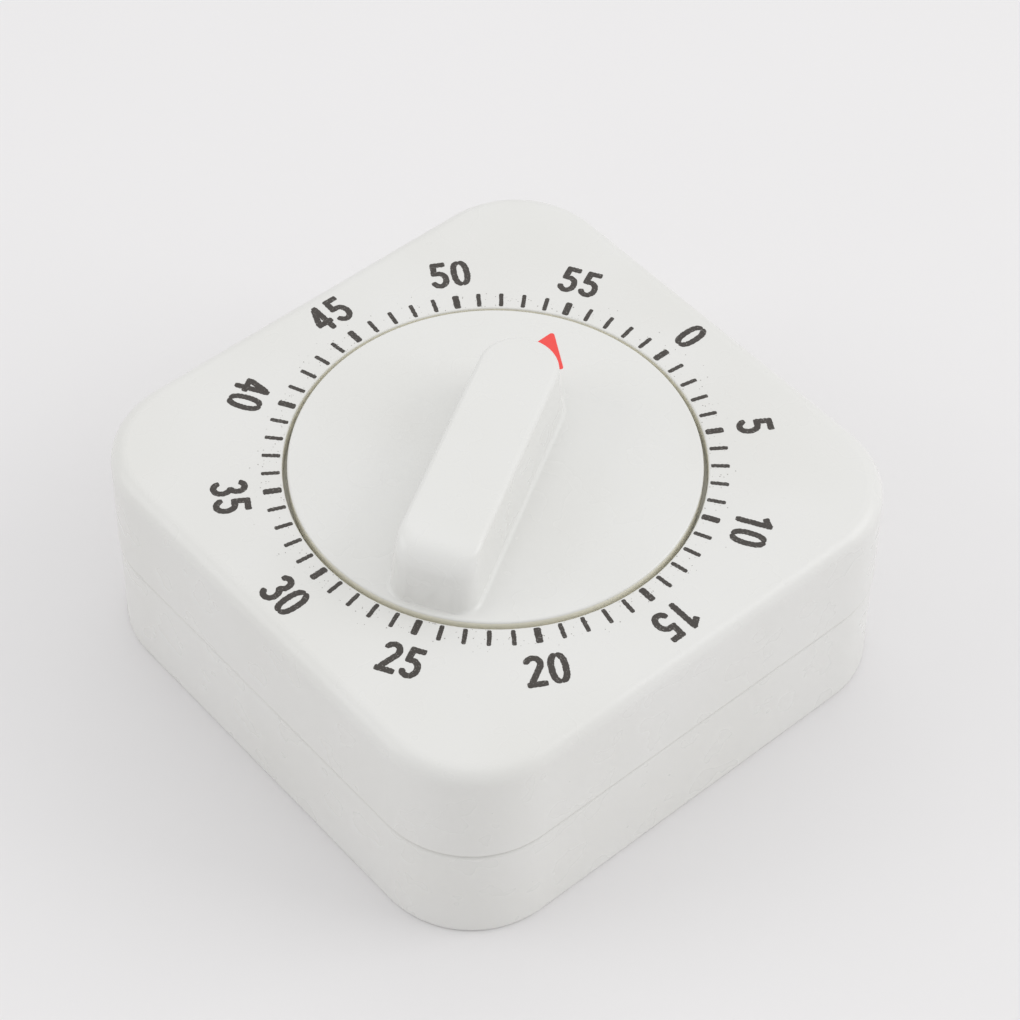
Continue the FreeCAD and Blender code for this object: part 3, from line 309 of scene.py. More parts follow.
class Board:
    """A material's nodes, with short ways to add and join them."""

    def __init__(self, name: str) -> None:
        """Starts a material that has one Principled shader."""
        self.material = bpy.data.materials.new(name)
        self.material.use_nodes = True
        self.tree = self.material.node_tree
        self.shader = self.tree.nodes["Principled BSDF"]

    def add(self, kind: str, inputs: dict[str, object] | None = None, **settings: object) -> bpy.types.Node:
        """Adds a node.

        Args:
            kind: the node's type.
            inputs: a value, or another node's output, for each named input.
            settings: the node's own settings.

        Returns:
            The new node.
        """
        node = self.tree.nodes.new(kind)
        for key, value in settings.items():
            setattr(node, key, value)
        for key, value in (inputs or {}).items():
            if isinstance(value, bpy.types.NodeSocket):
                self.tree.links.new(value, node.inputs[key])
            else:
                node.inputs[key].default_value = value
        return node

    def place(self, centre: Colour = (0.0, 0.0, 0.0), stretch: Colour = (1.0, 1.0, 1.0)) -> bpy.types.NodeSocket:
        """Object coordinates measured from a centre and stretched along each axis."""
        coordinates = self.add("ShaderNodeTexCoord")
        shift = self.add("ShaderNodeVectorMath", {0: coordinates.outputs["Object"], 1: centre},
                         operation="SUBTRACT")
        return self.add("ShaderNodeVectorMath", {0: shift.outputs[0], 1: stretch},
                        operation="MULTIPLY").outputs[0]

    def noise(self, vector: bpy.types.NodeSocket, size: float, detail: float = 3.0) -> bpy.types.NodeSocket:
        """Soft noise whose features are about as large as size, in millimetres."""
        node = self.add("ShaderNodeTexNoise", {"Vector": vector, "Scale": 1.0 / (size * MM), "Detail": detail})
        return node.outputs["Fac"]

    def spread(self, value: bpy.types.NodeSocket, low: float, high: float, to_low: float,
               to_high: float) -> bpy.types.NodeSocket:
        """A value carried from one range to another, smoothly at both ends."""
        node = self.add("ShaderNodeMapRange", {"Value": value, "From Min": low, "From Max": high,
                                               "To Min": to_low, "To Max": to_high},
                        interpolation_type="SMOOTHSTEP")
        return node.outputs["Result"]

    def product(self, a: bpy.types.NodeSocket, b: bpy.types.NodeSocket) -> bpy.types.NodeSocket:
        """One value times another."""
        return self.add("ShaderNodeMath", {0: a, 1: b}, operation="MULTIPLY").outputs[0]

    def blend(self, share: bpy.types.NodeSocket, a: object, b: object) -> bpy.types.NodeSocket:
        """Colour a where share is 0 and colour b where it is 1."""
        node = self.add("ShaderNodeMix", data_type="RGBA")
        self.tree.links.new(share, node.inputs[0])
        for socket, value in ((node.inputs[6], a), (node.inputs[7], b)):
            if isinstance(value, bpy.types.NodeSocket):
                self.tree.links.new(value, socket)
            else:
                socket.default_value = (*value, 1.0)
        return node.outputs[2]

    def relief(self, height: bpy.types.NodeSocket, depth: float,
               under: bpy.types.NodeSocket | None = None) -> bpy.types.NodeSocket:
        """Bump whose height runs over a depth in millimetres, on top of another bump."""
        node = self.add("ShaderNodeBump", {"Height": height, "Distance": depth * MM, "Strength": 1.0})
        if under is not None:
            self.tree.links.new(under, node.inputs["Normal"])
        return node.outputs["Normal"]

    def finish(self, colour: bpy.types.NodeSocket, roughness: bpy.types.NodeSocket,
               normal: bpy.types.NodeSocket, **fixed: float) -> bpy.types.Material:
        """Joins the results to the shader.

        Args:
            colour: base colour.
            roughness: roughness.
            normal: surface normal.
            fixed: inputs that are the same all over the surface, with spaces as underscores.

        Returns:
            The finished material.
        """
        for name, value in fixed.items():
            self.shader.inputs[name.replace("_", " ")].default_value = value
        for name, socket in (("Base Color", colour), ("Roughness", roughness), ("Normal", normal)):
            self.tree.links.new(socket, self.shader.inputs[name])
        return self.material


@dataclass(frozen=True)
class MouldedPlastic:
    """Glossy moulded plastic with a faint orange-peel, a painted glow in the groove round the dial and a painted
    shadow along the case's seam.

    Attributes:
        name: name of the material.
        colour: main colour.
        second_colour: colour that it drifts to over a few centimetres.
        roughness: smoothest and roughest patches.
        groove: radii, in millimetres, between which the painted glow of the groove comes up.
        groove_top: where the groove's painted glow starts, in millimetres above the case's face.
        groove_colour: paler, warmer colour painted in the groove, standing in for light that passes through the
            white plastic and bounces in the gap.
        seam: strength of the shadow painted along the case's seam, 0 for none.
        seam_colour: darker colour painted along the seam, standing in for the shadow under the upper shell's
            overhang.
        seam_reach: how far above and below the seam the painted shadow goes, in millimetres.
    """

    name: str
    colour: Colour
    second_colour: Colour
    roughness: tuple[float, float]
    groove: tuple[float, float]
    groove_top: float
    # paler, warmer colour painted in the groove as light through the plastic and bounced in the gap
    groove_colour: Colour
    seam: float = 0.0
    # darker colour of the shadow painted along the seam, and how far that shadow reaches
    seam_colour: Colour = (0.50, 0.49, 0.44)
    seam_reach: tuple[float, float] = (0.12, 0.34)

    def material(self) -> bpy.types.Material:
        """Makes the node material."""
        board = Board(self.name)
        where = board.place()
        drift = board.noise(where, 22.0, 2.0)
        colour = board.blend(board.spread(drift, 0.3, 0.7, 0.0, 1.0), self.colour, self.second_colour)
        flat = board.add("ShaderNodeVectorMath", {0: where, 1: (1.0, 1.0, 0.0)}, operation="MULTIPLY")
        radius = board.add("ShaderNodeVectorMath", {0: flat.outputs[0]}, operation="LENGTH").outputs["Value"]
        height = board.add("ShaderNodeSeparateXYZ", {0: where}).outputs["Z"]
        # Painted light: within the groove's radii and below its top, a paler, warmer colour stands in for light
        # that passes through the white plastic and bounces in the gap.
        painted_glow_ring = board.spread(radius, self.groove[0] * MM, self.groove[1] * MM, 0.0, 1.0)
        rim = float(corners("upper_case")[1][2]) + self.groove_top
        below = board.spread(height, (rim - 0.15) * MM, rim * MM, 1.0, 0.0)
        colour = board.blend(board.product(painted_glow_ring, below), colour, self.groove_colour)
        # Painted shade: a darker band along the seam stands in for the shadow under the upper shell's overhang.
        seam = float(corners("upper_case")[0][2])
        above, under = self.seam_reach
        over = board.spread(height, seam * MM, (seam + above) * MM, self.seam, 0.0)
        beneath = board.spread(height, (seam - under) * MM, (seam - above) * MM, 0.0, 1.0)
        colour = board.blend(board.product(over, beneath), colour, self.seam_colour)
        cloud = board.noise(where, 6.0, 2.0)
        roughness = board.spread(cloud, 0.25, 0.75, *self.roughness)
        peel = board.relief(board.noise(where, 9.0, 0.0), 0.0015)
        return board.finish(colour, roughness, peel, IOR=1.53)


@dataclass(frozen=True)
class WorkedMetal:
    """Bare or plated metal with the lines that its making left.

    Attributes:
        name: name of the material.
        colour: main colour.
        second_colour: colour of its stains.
        roughness: smoothest and roughest patches.
        grain: how the surface was worked.
        centre: axis of the turned lines, in metres.
    """

    name: str
    colour: Colour
    second_colour: Colour
    roughness: tuple[float, float]
    grain: Grain
    centre: Colour = (0.0, 0.0, 0.0)

    def lines(self, board: Board) -> bpy.types.NodeSocket:
        """Height of the lines that the tool left, from 0 to 1."""
        if self.grain is Grain.TURNED:
            where = board.place(self.centre)
            rings = board.add("ShaderNodeTexWave", {"Vector": where, "Scale": 900.0, "Distortion": 3.0,
                                                    "Detail": 3.0, "Detail Scale": 1.5},
                              wave_type="RINGS", rings_direction="Z")
            return rings.outputs["Fac"]
        if self.grain is Grain.BRUSHED:
            return board.noise(board.place(stretch=(0.05, 1.0, 1.0)), 0.12, 4.0)
        return board.noise(board.place(), 0.35, 4.0)

    def material(self) -> bpy.types.Material:
        """Makes the node material."""
        board = Board(self.name)
        lines = self.lines(board)
        stain = board.noise(board.place(), 5.0, 4.0)
        colour = board.blend(board.spread(stain, 0.35, 0.75, 0.0, 1.0), self.colour, self.second_colour)
        mixed = board.add("ShaderNodeMath", {0: lines, 1: stain}, operation="ADD").outputs[0]
        roughness = board.spread(mixed, 0.5, 1.5, *self.roughness)
        normal = board.relief(lines, 0.002)
        return board.finish(colour, roughness, normal, Metallic=1.0)


@dataclass(frozen=True)
class PrintedInk:
    """Pad-printed ink with pinholes that let the plastic show.

    Attributes:
        name: name of the material.
        colour: colour of the ink.
        thin_colour: colour where the ink is thin.
        pinhole: noise level above which the ink is thin.
    """

    name: str
    colour: Colour
    thin_colour: Colour
    pinhole: float

    def material(self) -> bpy.types.Material:
        """Makes the node material."""
        board = Board(self.name)
        where = board.place()
        specks = board.noise(where, 0.22, 3.0)
        thin = board.spread(specks, self.pinhole, self.pinhole + 0.08, 0.0, 1.0)
        colour = board.blend(thin, self.colour, self.thin_colour)
        roughness = board.spread(board.noise(where, 0.6), 0.3, 0.7, 0.42, 0.62)
        normal = board.relief(specks, 0.004)
        return board.finish(colour, roughness, normal, IOR=1.5)


@dataclass(frozen=True)
class PaleBoard:
    """Matt pale board that the timer stands on."""

    name: str
    colour: Colour

    def material(self) -> bpy.types.Material:
        """Makes the node material."""
        board = Board(self.name)
        where = board.place()
        tone = board.spread(board.noise(where, 90.0), 0.3, 0.7, 0.0, 1.0)
        lighter = tuple(min(1.0, c * 1.01) for c in self.colour)
        colour = board.blend(tone, self.colour, lighter)
        roughness = board.spread(board.noise(where, 8.0), 0.3, 0.7, 0.75, 0.9)
        normal = board.relief(board.noise(where, 1.5), 0.003)
        return board.finish(colour, roughness, normal)


def wear(piece: bpy.types.Object, material: bpy.types.Material) -> None:
    """Gives every material slot of a piece the same material."""
    if not piece.data.materials:
        piece.data.materials.append(material)
    for slot in piece.material_slots:
        slot.material = material


# ---------------------------------------------------------------- dial
@dataclass
class DialKnob:
    """Dial disc, grip and hub as one smooth moulding, turned to where the pointer rests.

    The grip is drawn with its pointer along +X.  Its outline at a height has a half-round pointer
    end and a square tail with round corners; it narrows with the draft from foot to top, flares
    out in a quarter-round root where it meets the disc and draws in with quarter-round edges.
    """

    finish: MouldedPlastic
    grip_angle: float = 120.72
    proud: float = 0.35
    thickness: float = 2.2
    edge_radius: float = 0.3
    top_width: float = 9.8
    side_draft: float = 0.5
    pointer_top: float = 13.2
    pointer_draft: float = 0.7
    tail_margin: float = 0.9
    tail_draft: float = 0.9
    tail_corner: float = 2.6
    tail_round: float = 2.9
    grip_edge: float = 0.7
    root_radius: float = 0.55
    wall: float = 1.7
    hub_radius: float = 4.2
    bore_radius: float = 1.31
    bore_flat: float = 0.81
    guard: float = 0.12
    round_steps: int = 14
    rim_points: int = 256

    def __post_init__(self) -> None:
        """Reads the levels and the radius from the frame."""
        low, high = corners("dial_knob")
        self.radius = float(high[0])
        self.top = float(corners("upper_case")[1][2]) + self.proud
        self.bottom = self.top - self.thickness
        self.hub_bottom = float(low[2])
        self.grip_height = float(high[2]) - self.top
        self.bore_top = float(corners("main_arbor")[1][2]) + 0.01

    def outline(self, width: float, pointer_end: float, tail_end: float, corner: float) -> np.ndarray:
        """Loop of points round the grip: nose arc, side, tail corner, tail, tail corner, side.

        Args:
            width: width of the grip.
            pointer_end: reach of the pointer end along +X.
            tail_end: reach of the tail along -X.
            corner: radius of the tail's corners.

        Returns:
            Array of points, counter-clockwise.
        """
        half = width / 2
        nose = pointer_end - half
        tail = corner - tail_end
        parts = [ellipse_arc((nose, 0), (half, half), -90, 90, 65)[:-1],
                 straight((nose, half), (tail, half), 33)[:-1],
                 ellipse_arc((tail, half - corner), (corner, corner), 90, 180, 21)[:-1],
                 straight((-tail_end, half - corner), (-tail_end, corner - half), 9)[:-1],
                 ellipse_arc((tail, corner - half), (corner, corner), 180, 270, 21)[:-1],
                 straight((tail, -half), (nose, -half), 33)[:-1]]
        return np.vstack(parts)

    @staticmethod
    def drawn_in(radius: float, height: float) -> float:
        """How far a quarter-round of this radius draws in at a height above its lower end."""
        return radius - math.sqrt(max(radius ** 2 - max(height, 0.0) ** 2, 0.0))

    def section(self, height: float, inset: float = 0.0) -> np.ndarray:
        """Outline of the grip at a height above the disc, drawn in further by inset."""
        share = 1 - height / self.grip_height
        edge = self.drawn_in(self.grip_edge, height - (self.grip_height - self.grip_edge))
        edge += inset - self.drawn_in(self.root_radius, self.root_radius - height)
        tail = self.drawn_in(self.tail_round, height - (self.grip_height - self.tail_round)) + inset
        tail_top = self.radius - self.tail_margin - self.tail_draft
        return self.outline(self.top_width + 2 * self.side_draft * share - 2 * edge,
                            self.pointer_top + self.pointer_draft * share - edge,
                            tail_top + self.tail_draft * share - max(tail, edge),
                            self.tail_corner - 0.5 * max(inset, 0.0))

    def grip_heights(self) -> np.ndarray:
        """Heights of the grip's loops, closer together where it is rounded."""
        steps = smooth_steps(self.round_steps)
        root = self.root_radius * (1 - np.cos(steps))
        tail = self.grip_height - self.tail_round * (1 - np.sin(steps))
        edge = self.grip_height - self.grip_edge * (1 - np.sin(steps))
        side = np.linspace(root[-1], tail[0], 6)[1:-1]
        return np.concatenate([root, side, tail[tail < edge[0] - 0.02], edge])

    def add_grip(self, skin: Skin) -> None:
        """Adds the grip's skin: one loop for each height, then the flat top inside a guard loop."""
        heights = self.grip_heights()
        loops = [lifted(self.section(h), self.top + h) for h in heights]
        foot = lifted(self.section(0.0, -self.guard), self.top)
        crown = lifted(self.section(self.grip_height, self.guard), self.top + self.grip_height)
        skin.band(np.stack([foot, *loops, crown]))
        skin.plate(crown[:, :2], [], self.top + self.grip_height)

    def add_disc(self, skin: Skin) -> None:
        """Adds the disc's face, its quarter-round edge, its side and its underside."""
        steps = smooth_steps(self.round_steps)
        radii = [self.radius - self.edge_radius - self.guard]
        radii += list(self.radius - self.edge_radius * (1 - np.sin(steps)))
        levels = [self.top]
        levels += list(self.top - self.edge_radius * (1 - np.cos(steps)))
        radii += [self.radius, self.radius - self.guard]
        levels += [self.bottom, self.bottom]
        skin.band(np.stack([lifted(circle(r, self.rim_points), z) for r, z in zip(radii, levels)]))
        skin.plate(circle(radii[0], self.rim_points), [self.section(0.0, -self.guard)], self.top)
        underside = circle(radii[-1], self.rim_points)
        skin.plate(underside, [circle(self.hub_radius, 96), *self.pockets(0.0)], self.bottom)

    def pockets(self, height: float) -> list[np.ndarray]:
        """Loops round the hollows under the grip, one on each side of the hub.

        Args:
            height: height above the disc's underside.

        Returns:
            The tail pocket's loop and the pointer pocket's loop.
        """
        full = self.thickness + self.grip_height - self.wall
        share = 1 - height / full
        half = self.top_width / 2 + self.side_draft * share - self.wall
        near = self.hub_radius + self.wall / 2
        tail = self.radius - self.tail_margin - self.tail_draft * (1 - share) - self.wall
        nose = self.pointer_top + self.pointer_draft * share - self.wall - half
        corner = self.tail_corner - self.wall
        back = [ellipse_arc((corner - tail, half - corner), (corner, corner), 90, 180, 9),
                ellipse_arc((corner - tail, corner - half), (corner, corner), 180, 270, 9),
                straight((-near, -half), (-near, half), 5)]
        front = [straight((near, half), (near, -half), 5),
                 ellipse_arc((nose, 0), (half, half), -90, 90, 33)]
        return [np.vstack(back), np.vstack(front)]

    def add_inside(self, skin: Skin) -> None:
        """Adds the pockets' walls and ceilings, the hub and its bore with one flat."""
        ceiling = self.top + self.grip_height - self.wall
        for low, high in zip(self.pockets(0.0), self.pockets(ceiling - self.bottom)):
            skin.band(np.stack([lifted(low, self.bottom), lifted(high, ceiling)]))
            skin.plate(high, [], ceiling)
        hub = circle(self.hub_radius, 96)
        bore = circle(self.bore_radius, 48)
        bore[:, 1] = np.minimum(bore[:, 1], self.bore_flat)
        skin.band(np.stack([lifted(hub, self.bottom), lifted(hub, self.hub_bottom)]))
        skin.plate(hub, [bore], self.hub_bottom)
        skin.band(np.stack([lifted(bore, self.hub_bottom), lifted(bore, self.bore_top)]))
        skin.plate(bore, [], self.bore_top)

    def build(self) -> bpy.types.Object:
        """Builds the knob, dresses it and puts it in place of the plain one."""
        skin = Skin()
        self.add_grip(skin)
        self.add_disc(skin)
        self.add_inside(skin)
        skin.points = [turned(p, self.grip_angle) for p in skin.points]
        piece = skin.build("timer_dial")
        wear(piece, self.finish.material())
        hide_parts("dial_knob")
        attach(piece, "dial")
        return piece


@dataclass
class PointerMark:
    """Red triangle printed on the dial in front of the grip's pointer end."""

    ink: PrintedInk
    dial: DialKnob
    apex: float = 22.4
    base: float = 16.5
    half_width: float = 3.3
    corner: float = 0.35
    film: float = 0.02

    def outline(self) -> np.ndarray:
        """Loop of the triangle: an arc at each corner, between the normals of its two sides."""
        tips = np.array([(self.apex, 0.0), (self.base, self.half_width), (self.base, -self.half_width)])
        arcs = []
        for k in range(3):
            to_next = tips[(k + 1) % 3] - tips[k]
            to_last = tips[(k - 1) % 3] - tips[k]
            start = math.degrees(math.atan2(-to_last[0], to_last[1])) + 180
            end = math.degrees(math.atan2(-to_next[0], to_next[1]))
            opening = math.acos(np.dot(to_next, to_last) / np.linalg.norm(to_next) / np.linalg.norm(to_last))
            bisector = to_next / np.linalg.norm(to_next) + to_last / np.linalg.norm(to_last)
            inward = bisector / np.linalg.norm(bisector)
            centre = tips[k] + inward * self.corner / math.sin(opening / 2)
            sweep = (end - start) % 360
            arcs.append(ellipse_arc(tuple(centre), (self.corner, self.corner), start, start + sweep, 9))
        return np.vstack(arcs)

    def build(self) -> bpy.types.Object:
        """Builds the triangle as a thin film on the dial."""
        loop = turned(self.outline(), self.dial.grip_angle)
        skin = Skin()
        low, high = self.dial.top - self.film / 2, self.dial.top + self.film
        skin.band(np.stack([lifted(loop, low), lifted(loop, high)]))
        skin.plate(loop, [], low)
        skin.plate(loop, [], high)
        piece = skin.build("dial_pointer_mark")
        wear(piece, self.ink.material())
        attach(piece, "dial")
        return piece


# ---------------------------------------------------------------- printed scale
class Reading(Enum):
    """Which way the tops of a number's digits point."""

    OUTWARD = 1
    INWARD = -1


@dataclass
class DigitStrokes:
    """Bold digits drawn as strokes of one width, in a box about the origin."""

    width: float = 2.42
    height: float = 4.55
    stroke: float = 0.79
    samples: int = 40

    def __post_init__(self) -> None:
        """Works out how far the strokes' centre lines reach."""
        self.a = (self.width - self.stroke) / 2
        self.b = (self.height - self.stroke) / 2

    def oval_half(self, side: int) -> np.ndarray:
        """Half of a squarish oval: its cosine and sine raised to a power under one."""
        angle = np.linspace(-math.pi / 2, math.pi / 2, self.samples)
        power = 0.8
        x = side * self.a * np.cos(angle) ** power
        y = self.b * np.sign(np.sin(angle)) * np.abs(np.sin(angle)) ** power
        return np.stack([x, y], axis=-1)

    def nought(self) -> list[np.ndarray]:
        """Two halves of an oval."""
        return [self.oval_half(1), self.oval_half(-1)]

    def one(self) -> list[np.ndarray]:
        """Stem and a slanting flag."""
        end = self.b + self.stroke / 2
        return [straight((0.28, -end), (0.28, end)),
                straight((0.34, self.b + 0.02), (-self.a, self.b - 0.78))]

    def two(self) -> list[np.ndarray]:
        """Bowl that runs into a diagonal, and a foot."""
        bowl = ellipse_arc((0.0, self.b - 0.9), (self.a, 0.9), 172, -28)
        foot = (-self.a + 0.1, -self.b + 0.12)
        return [np.vstack([bowl, straight(tuple(bowl[-1]), foot, 12)[1:]]),
                straight((-self.a - self.stroke / 2, -self.b), (self.a + self.stroke / 2, -self.b))]

    def three(self) -> list[np.ndarray]:
        """Two bowls that meet in the middle."""
        return [ellipse_arc((-0.04, self.b - 0.87), (self.a - 0.08, 0.87), 165, -92),
                ellipse_arc((-0.04, -self.b + 1.0), (self.a + 0.02, 1.0), 95, -168)]

    def four(self) -> list[np.ndarray]:
        """Stem, diagonal and crossbar."""
        end = self.b + self.stroke / 2
        return [straight((0.42, -end), (0.42, end)),
                straight((0.3, self.b + 0.05), (-self.a - 0.02, -0.72)),
                straight((-self.a - 0.3, -0.8), (self.a + 0.32, -0.8))]

    def five(self) -> list[np.ndarray]:
        """Top bar, short stem and an open bowl."""
        bowl = ellipse_arc((-0.06, -self.b + 1.12), (self.a + 0.04, 1.12), 128, -166)
        return [straight((-0.7, self.b), (self.a + 0.2, self.b)),
                straight((-0.5, self.b + self.stroke / 2), (-0.62, -0.02)),
                bowl]

    def digit(self, value: int) -> list[np.ndarray]:
        """Centre lines of a digit from 0 to 5, each with the same number of points."""
        makers = (self.nought, self.one, self.two, self.three, self.four, self.five)
        return [resampled(path, self.samples) for path in makers[value]()]


@dataclass
class PrintedScale:
    """Sixty minute marks and twelve numbers printed round the dial."""

    ink: PrintedInk
    speck_ink: PrintedInk
    mark_radius: float = 27.0
    mark_length: float = 2.25
    mark_width: float = 0.54
    fifth_width: float = 0.84
    number_radius: float = 32.0
    digit_pitch: float = 2.75
    film: float = 0.015
    ragged: float = 0.045
    mark_points: int = 24
    speck_count: int = 420
    speck_reach: tuple[float, float] = (0.025, 0.085)
    speck_seed: int = 7

    def __post_init__(self) -> None:
        """Reads the height of the case's face from the frame."""
        self.face = float(corners("upper_case")[1][2])

    def frayed(self, points: np.ndarray, shift: float) -> np.ndarray:
        """Unevenness of an inked edge: a sum of sines of the place, of three wavelengths."""
        x, y = points[..., 0], points[..., 1]
        wave = np.sin(11.3 * x + 7.9 * y + shift) + 0.7 * np.sin(-6.1 * x + 17.7 * y + 2 * shift)
        return self.ragged * (wave + 0.5 * np.sin(29.0 * x - 23.0 * y + 3 * shift)) / 2.2

    def printed(self, name: str, paths: np.ndarray, widths: np.ndarray) -> bpy.types.Object:
        """Makes one inked piece from its strokes.

        Args:
            name: name of the piece.
            paths: strokes by points by two, in place.
            widths: width of each stroke.

        Returns:
            The finished piece, riding on the case.
        """
        along = np.linspace(-1.0, 1.0, paths.shape[1])
        body = widths[:, None] / 2 * (1 - 0.45 * np.abs(along) ** 16)
        half = np.stack([body + self.frayed(paths, shift) for shift in (0.0, 1.9)], axis=-1)
        tops = self.face + self.film * (1 + 0.15 * (np.arange(len(paths)) % 4))
        piece = strokes_mesh(name, paths, half, self.face - self.film, tops)
        wear(piece, self.ink.material())
        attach(piece, "case")
        return piece

    def build_marks(self) -> bpy.types.Object:
        """Sixty radial marks, every fifth one wider."""
        minute = np.arange(60)
        angle = np.radians(90.0 - 6.0 * minute)
        out = np.stack([np.cos(angle), np.sin(angle)], axis=-1)
        reach = np.linspace(-0.5, 0.5, self.mark_points) * self.mark_length + self.mark_radius
        paths = out[:, None, :] * reach[None, :, None]
        widths = np.where(minute % 5 == 0, self.fifth_width, self.mark_width)
        return self.printed("minute_marks", paths, widths)

    def build_specks(self) -> bpy.types.Object:
        """Tiny specks of stray ink, scattered evenly in angle and thickest round the marks."""
        rng = np.random.default_rng(self.speck_seed)
        angle = rng.uniform(0.0, 2 * math.pi, self.speck_count)
        radius = rng.normal(self.mark_radius + 0.3, self.mark_length * 0.5, self.speck_count)
        radius = np.clip(radius, self.mark_radius - self.mark_length * 0.5, self.number_radius)
        centre = radius[:, None] * np.stack([np.cos(angle), np.sin(angle)], axis=-1)
        lean = rng.uniform(0.0, math.pi, self.speck_count)
        reach = rng.uniform(*self.speck_reach, self.speck_count)
        way = np.stack([np.cos(lean), np.sin(lean)], axis=-1) * reach[:, None]
        paths = centre[:, None] + way[:, None] * np.linspace(-1.0, 1.0, 5)[None, :, None]
        swell = reach[:, None] * np.array([0.5, 0.9, 1.0, 0.8, 0.4])
        half = np.stack([swell, swell * rng.uniform(0.6, 1.0, self.speck_count)[:, None]], axis=-1)
        tops = np.full(self.speck_count, self.face + 0.6 * self.film)
        piece = strokes_mesh("ink_specks", paths, half, self.face - self.film, tops)
        wear(piece, self.speck_ink.material())
        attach(piece, "case")
        return piece

    def number_strokes(self, minute: int, digits: DigitStrokes) -> list[np.ndarray]:
        """Strokes of one number, turned and moved to its place.

        Args:
            minute: the number.
            digits: the shapes of its digits.

        Returns:
            Centre lines in the XY plane of the case's face.
        """
        reading = Reading.INWARD if 20 <= minute <= 40 else Reading.OUTWARD
        angle = 90.0 - 6.0 * minute
        turn = angle - 90.0 if reading is Reading.OUTWARD else angle + 90.0
        figures = [int(c) for c in str(minute)]
        strokes = []
        for place, figure in enumerate(figures):
            shift = np.array([(place - (len(figures) - 1) / 2) * self.digit_pitch,
                              reading.value * self.number_radius])
            strokes += [turned(path + shift, turn) for path in digits.digit(figure)]
        return strokes

    def build_numbers(self) -> bpy.types.Object:
        """The numbers 0 to 55 in fives."""
        digits = DigitStrokes()
        strokes = [s for minute in range(0, 60, 5) for s in self.number_strokes(minute, digits)]
        widths = np.full(len(strokes), digits.stroke)
        return self.printed("minute_numbers", np.stack(strokes), widths)


# ---------------------------------------------------------------- works and case
@dataclass
class CaseShells:
    """Upper and lower shell and the screws that hold them."""

    plastic: MouldedPlastic
    steel: WorkedMetal

    def dress(self) -> list[str]:
        """Dresses the shells and the case's screws and gives their names."""
        white = self.plastic.material()
        for node in ("upper_case", "lower_case"):
            wear(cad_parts[node], white)
        steel = self.steel.material()
        for node in ("case_screws", "movement_screws"):
            wear(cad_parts[node], steel)
        return ["upper_case", "lower_case", "case_screws", "movement_screws"]


class Metal(Enum):
    """Metals of the works: colour, stain colour, roughness from and to."""

    BRASS = ((0.78, 0.56, 0.22), (0.60, 0.40, 0.15), (0.22, 0.42))
    STEEL = ((0.56, 0.56, 0.57), (0.42, 0.42, 0.43), (0.25, 0.45))
    ZINC = ((0.66, 0.67, 0.68), (0.50, 0.51, 0.54), (0.30, 0.50))
    BLUED = ((0.07, 0.10, 0.22), (0.16, 0.11, 0.08), (0.18, 0.34))
    NICKEL = ((0.74, 0.73, 0.70), (0.62, 0.61, 0.58), (0.08, 0.20))


@dataclass
class Works:
    """The movement: plates, train, escapement, springs, hammer and bell."""

    brass_turned: tuple[str, ...] = ("main_wheel", "second_wheel", "third_wheel", "escape_wheel", "balance_wheel",
                                     "ring_wheel", "hammer_head")
    steel_turned: tuple[str, ...] = ("main_arbor", "second_arbor", "third_arbor", "escape_arbor",
                                     "balance_staff", "hammer_arbor", "ratchet_wheel", "wheel_clip",
                                     "alarm_cam", "bell_post", "bell_screw", "spring_post", "click_pin")
    zinc_brushed: tuple[str, ...] = ("top_plate", "bottom_plate")
    steel_tumbled: tuple[str, ...] = ("pillar_1", "pillar_2", "pillar_3", "pillar_4", "pillar_nuts", "click",
                                      "pallet_lever", "pallet_pins", "hammer_finger", "hammer_tail",
                                      "hammer_arm")
    springs: tuple[str, ...] = ("mainspring", "hammer_spring", "click_spring")
    bells: tuple[str, ...] = ("bell",)

    def group(self, nodes: Sequence[str], metal: Metal, grain: Grain) -> list[str]:
        """Dresses each node of a group in one metal.

        Args:
            nodes: names of the CAD nodes.
            metal: what they are made of.
            grain: how they were worked.

        Returns:
            The names that were dressed.
        """
        colour, stain, roughness = metal.value
        for node in nodes:
            finish = WorkedMetal(f"{metal.name.lower()}_{node}", colour, stain, roughness, grain, middle(node))
            wear(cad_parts[node], finish.material())
        return list(nodes)

    def dress(self) -> list[str]:
        """Dresses every piece of the movement and gives their names."""
        return (self.group(self.brass_turned, Metal.BRASS, Grain.TURNED)
                + self.group(self.steel_turned, Metal.STEEL, Grain.TURNED)
                + self.group(self.zinc_brushed, Metal.ZINC, Grain.BRUSHED)
                + self.group(self.steel_tumbled, Metal.STEEL, Grain.TUMBLED)
                + self.group(self.springs, Metal.BLUED, Grain.TUMBLED)
                + self.group(self.bells, Metal.NICKEL, Grain.TURNED))


# ---------------------------------------------------------------- studio
@dataclass(frozen=True)
class SoftBox:
    """Square area light that points at the timer."""

    name: str
    place: Colour
    side: float
    power: float
    colour: Colour = (1.0, 1.0, 1.0)

    def build(self) -> None:
        """Adds the light."""
        light = bpy.data.lights.new(self.name, "AREA")
        light.size = self.side
        light.energy = self.power
        light.color = self.colour
        lamp = bpy.data.objects.new(self.name, light)
        bpy.context.scene.collection.objects.link(lamp)
        lamp.location = self.place
        lamp.rotation_euler = (-Vector(self.place)).to_track_quat("-Z", "Y").to_euler()


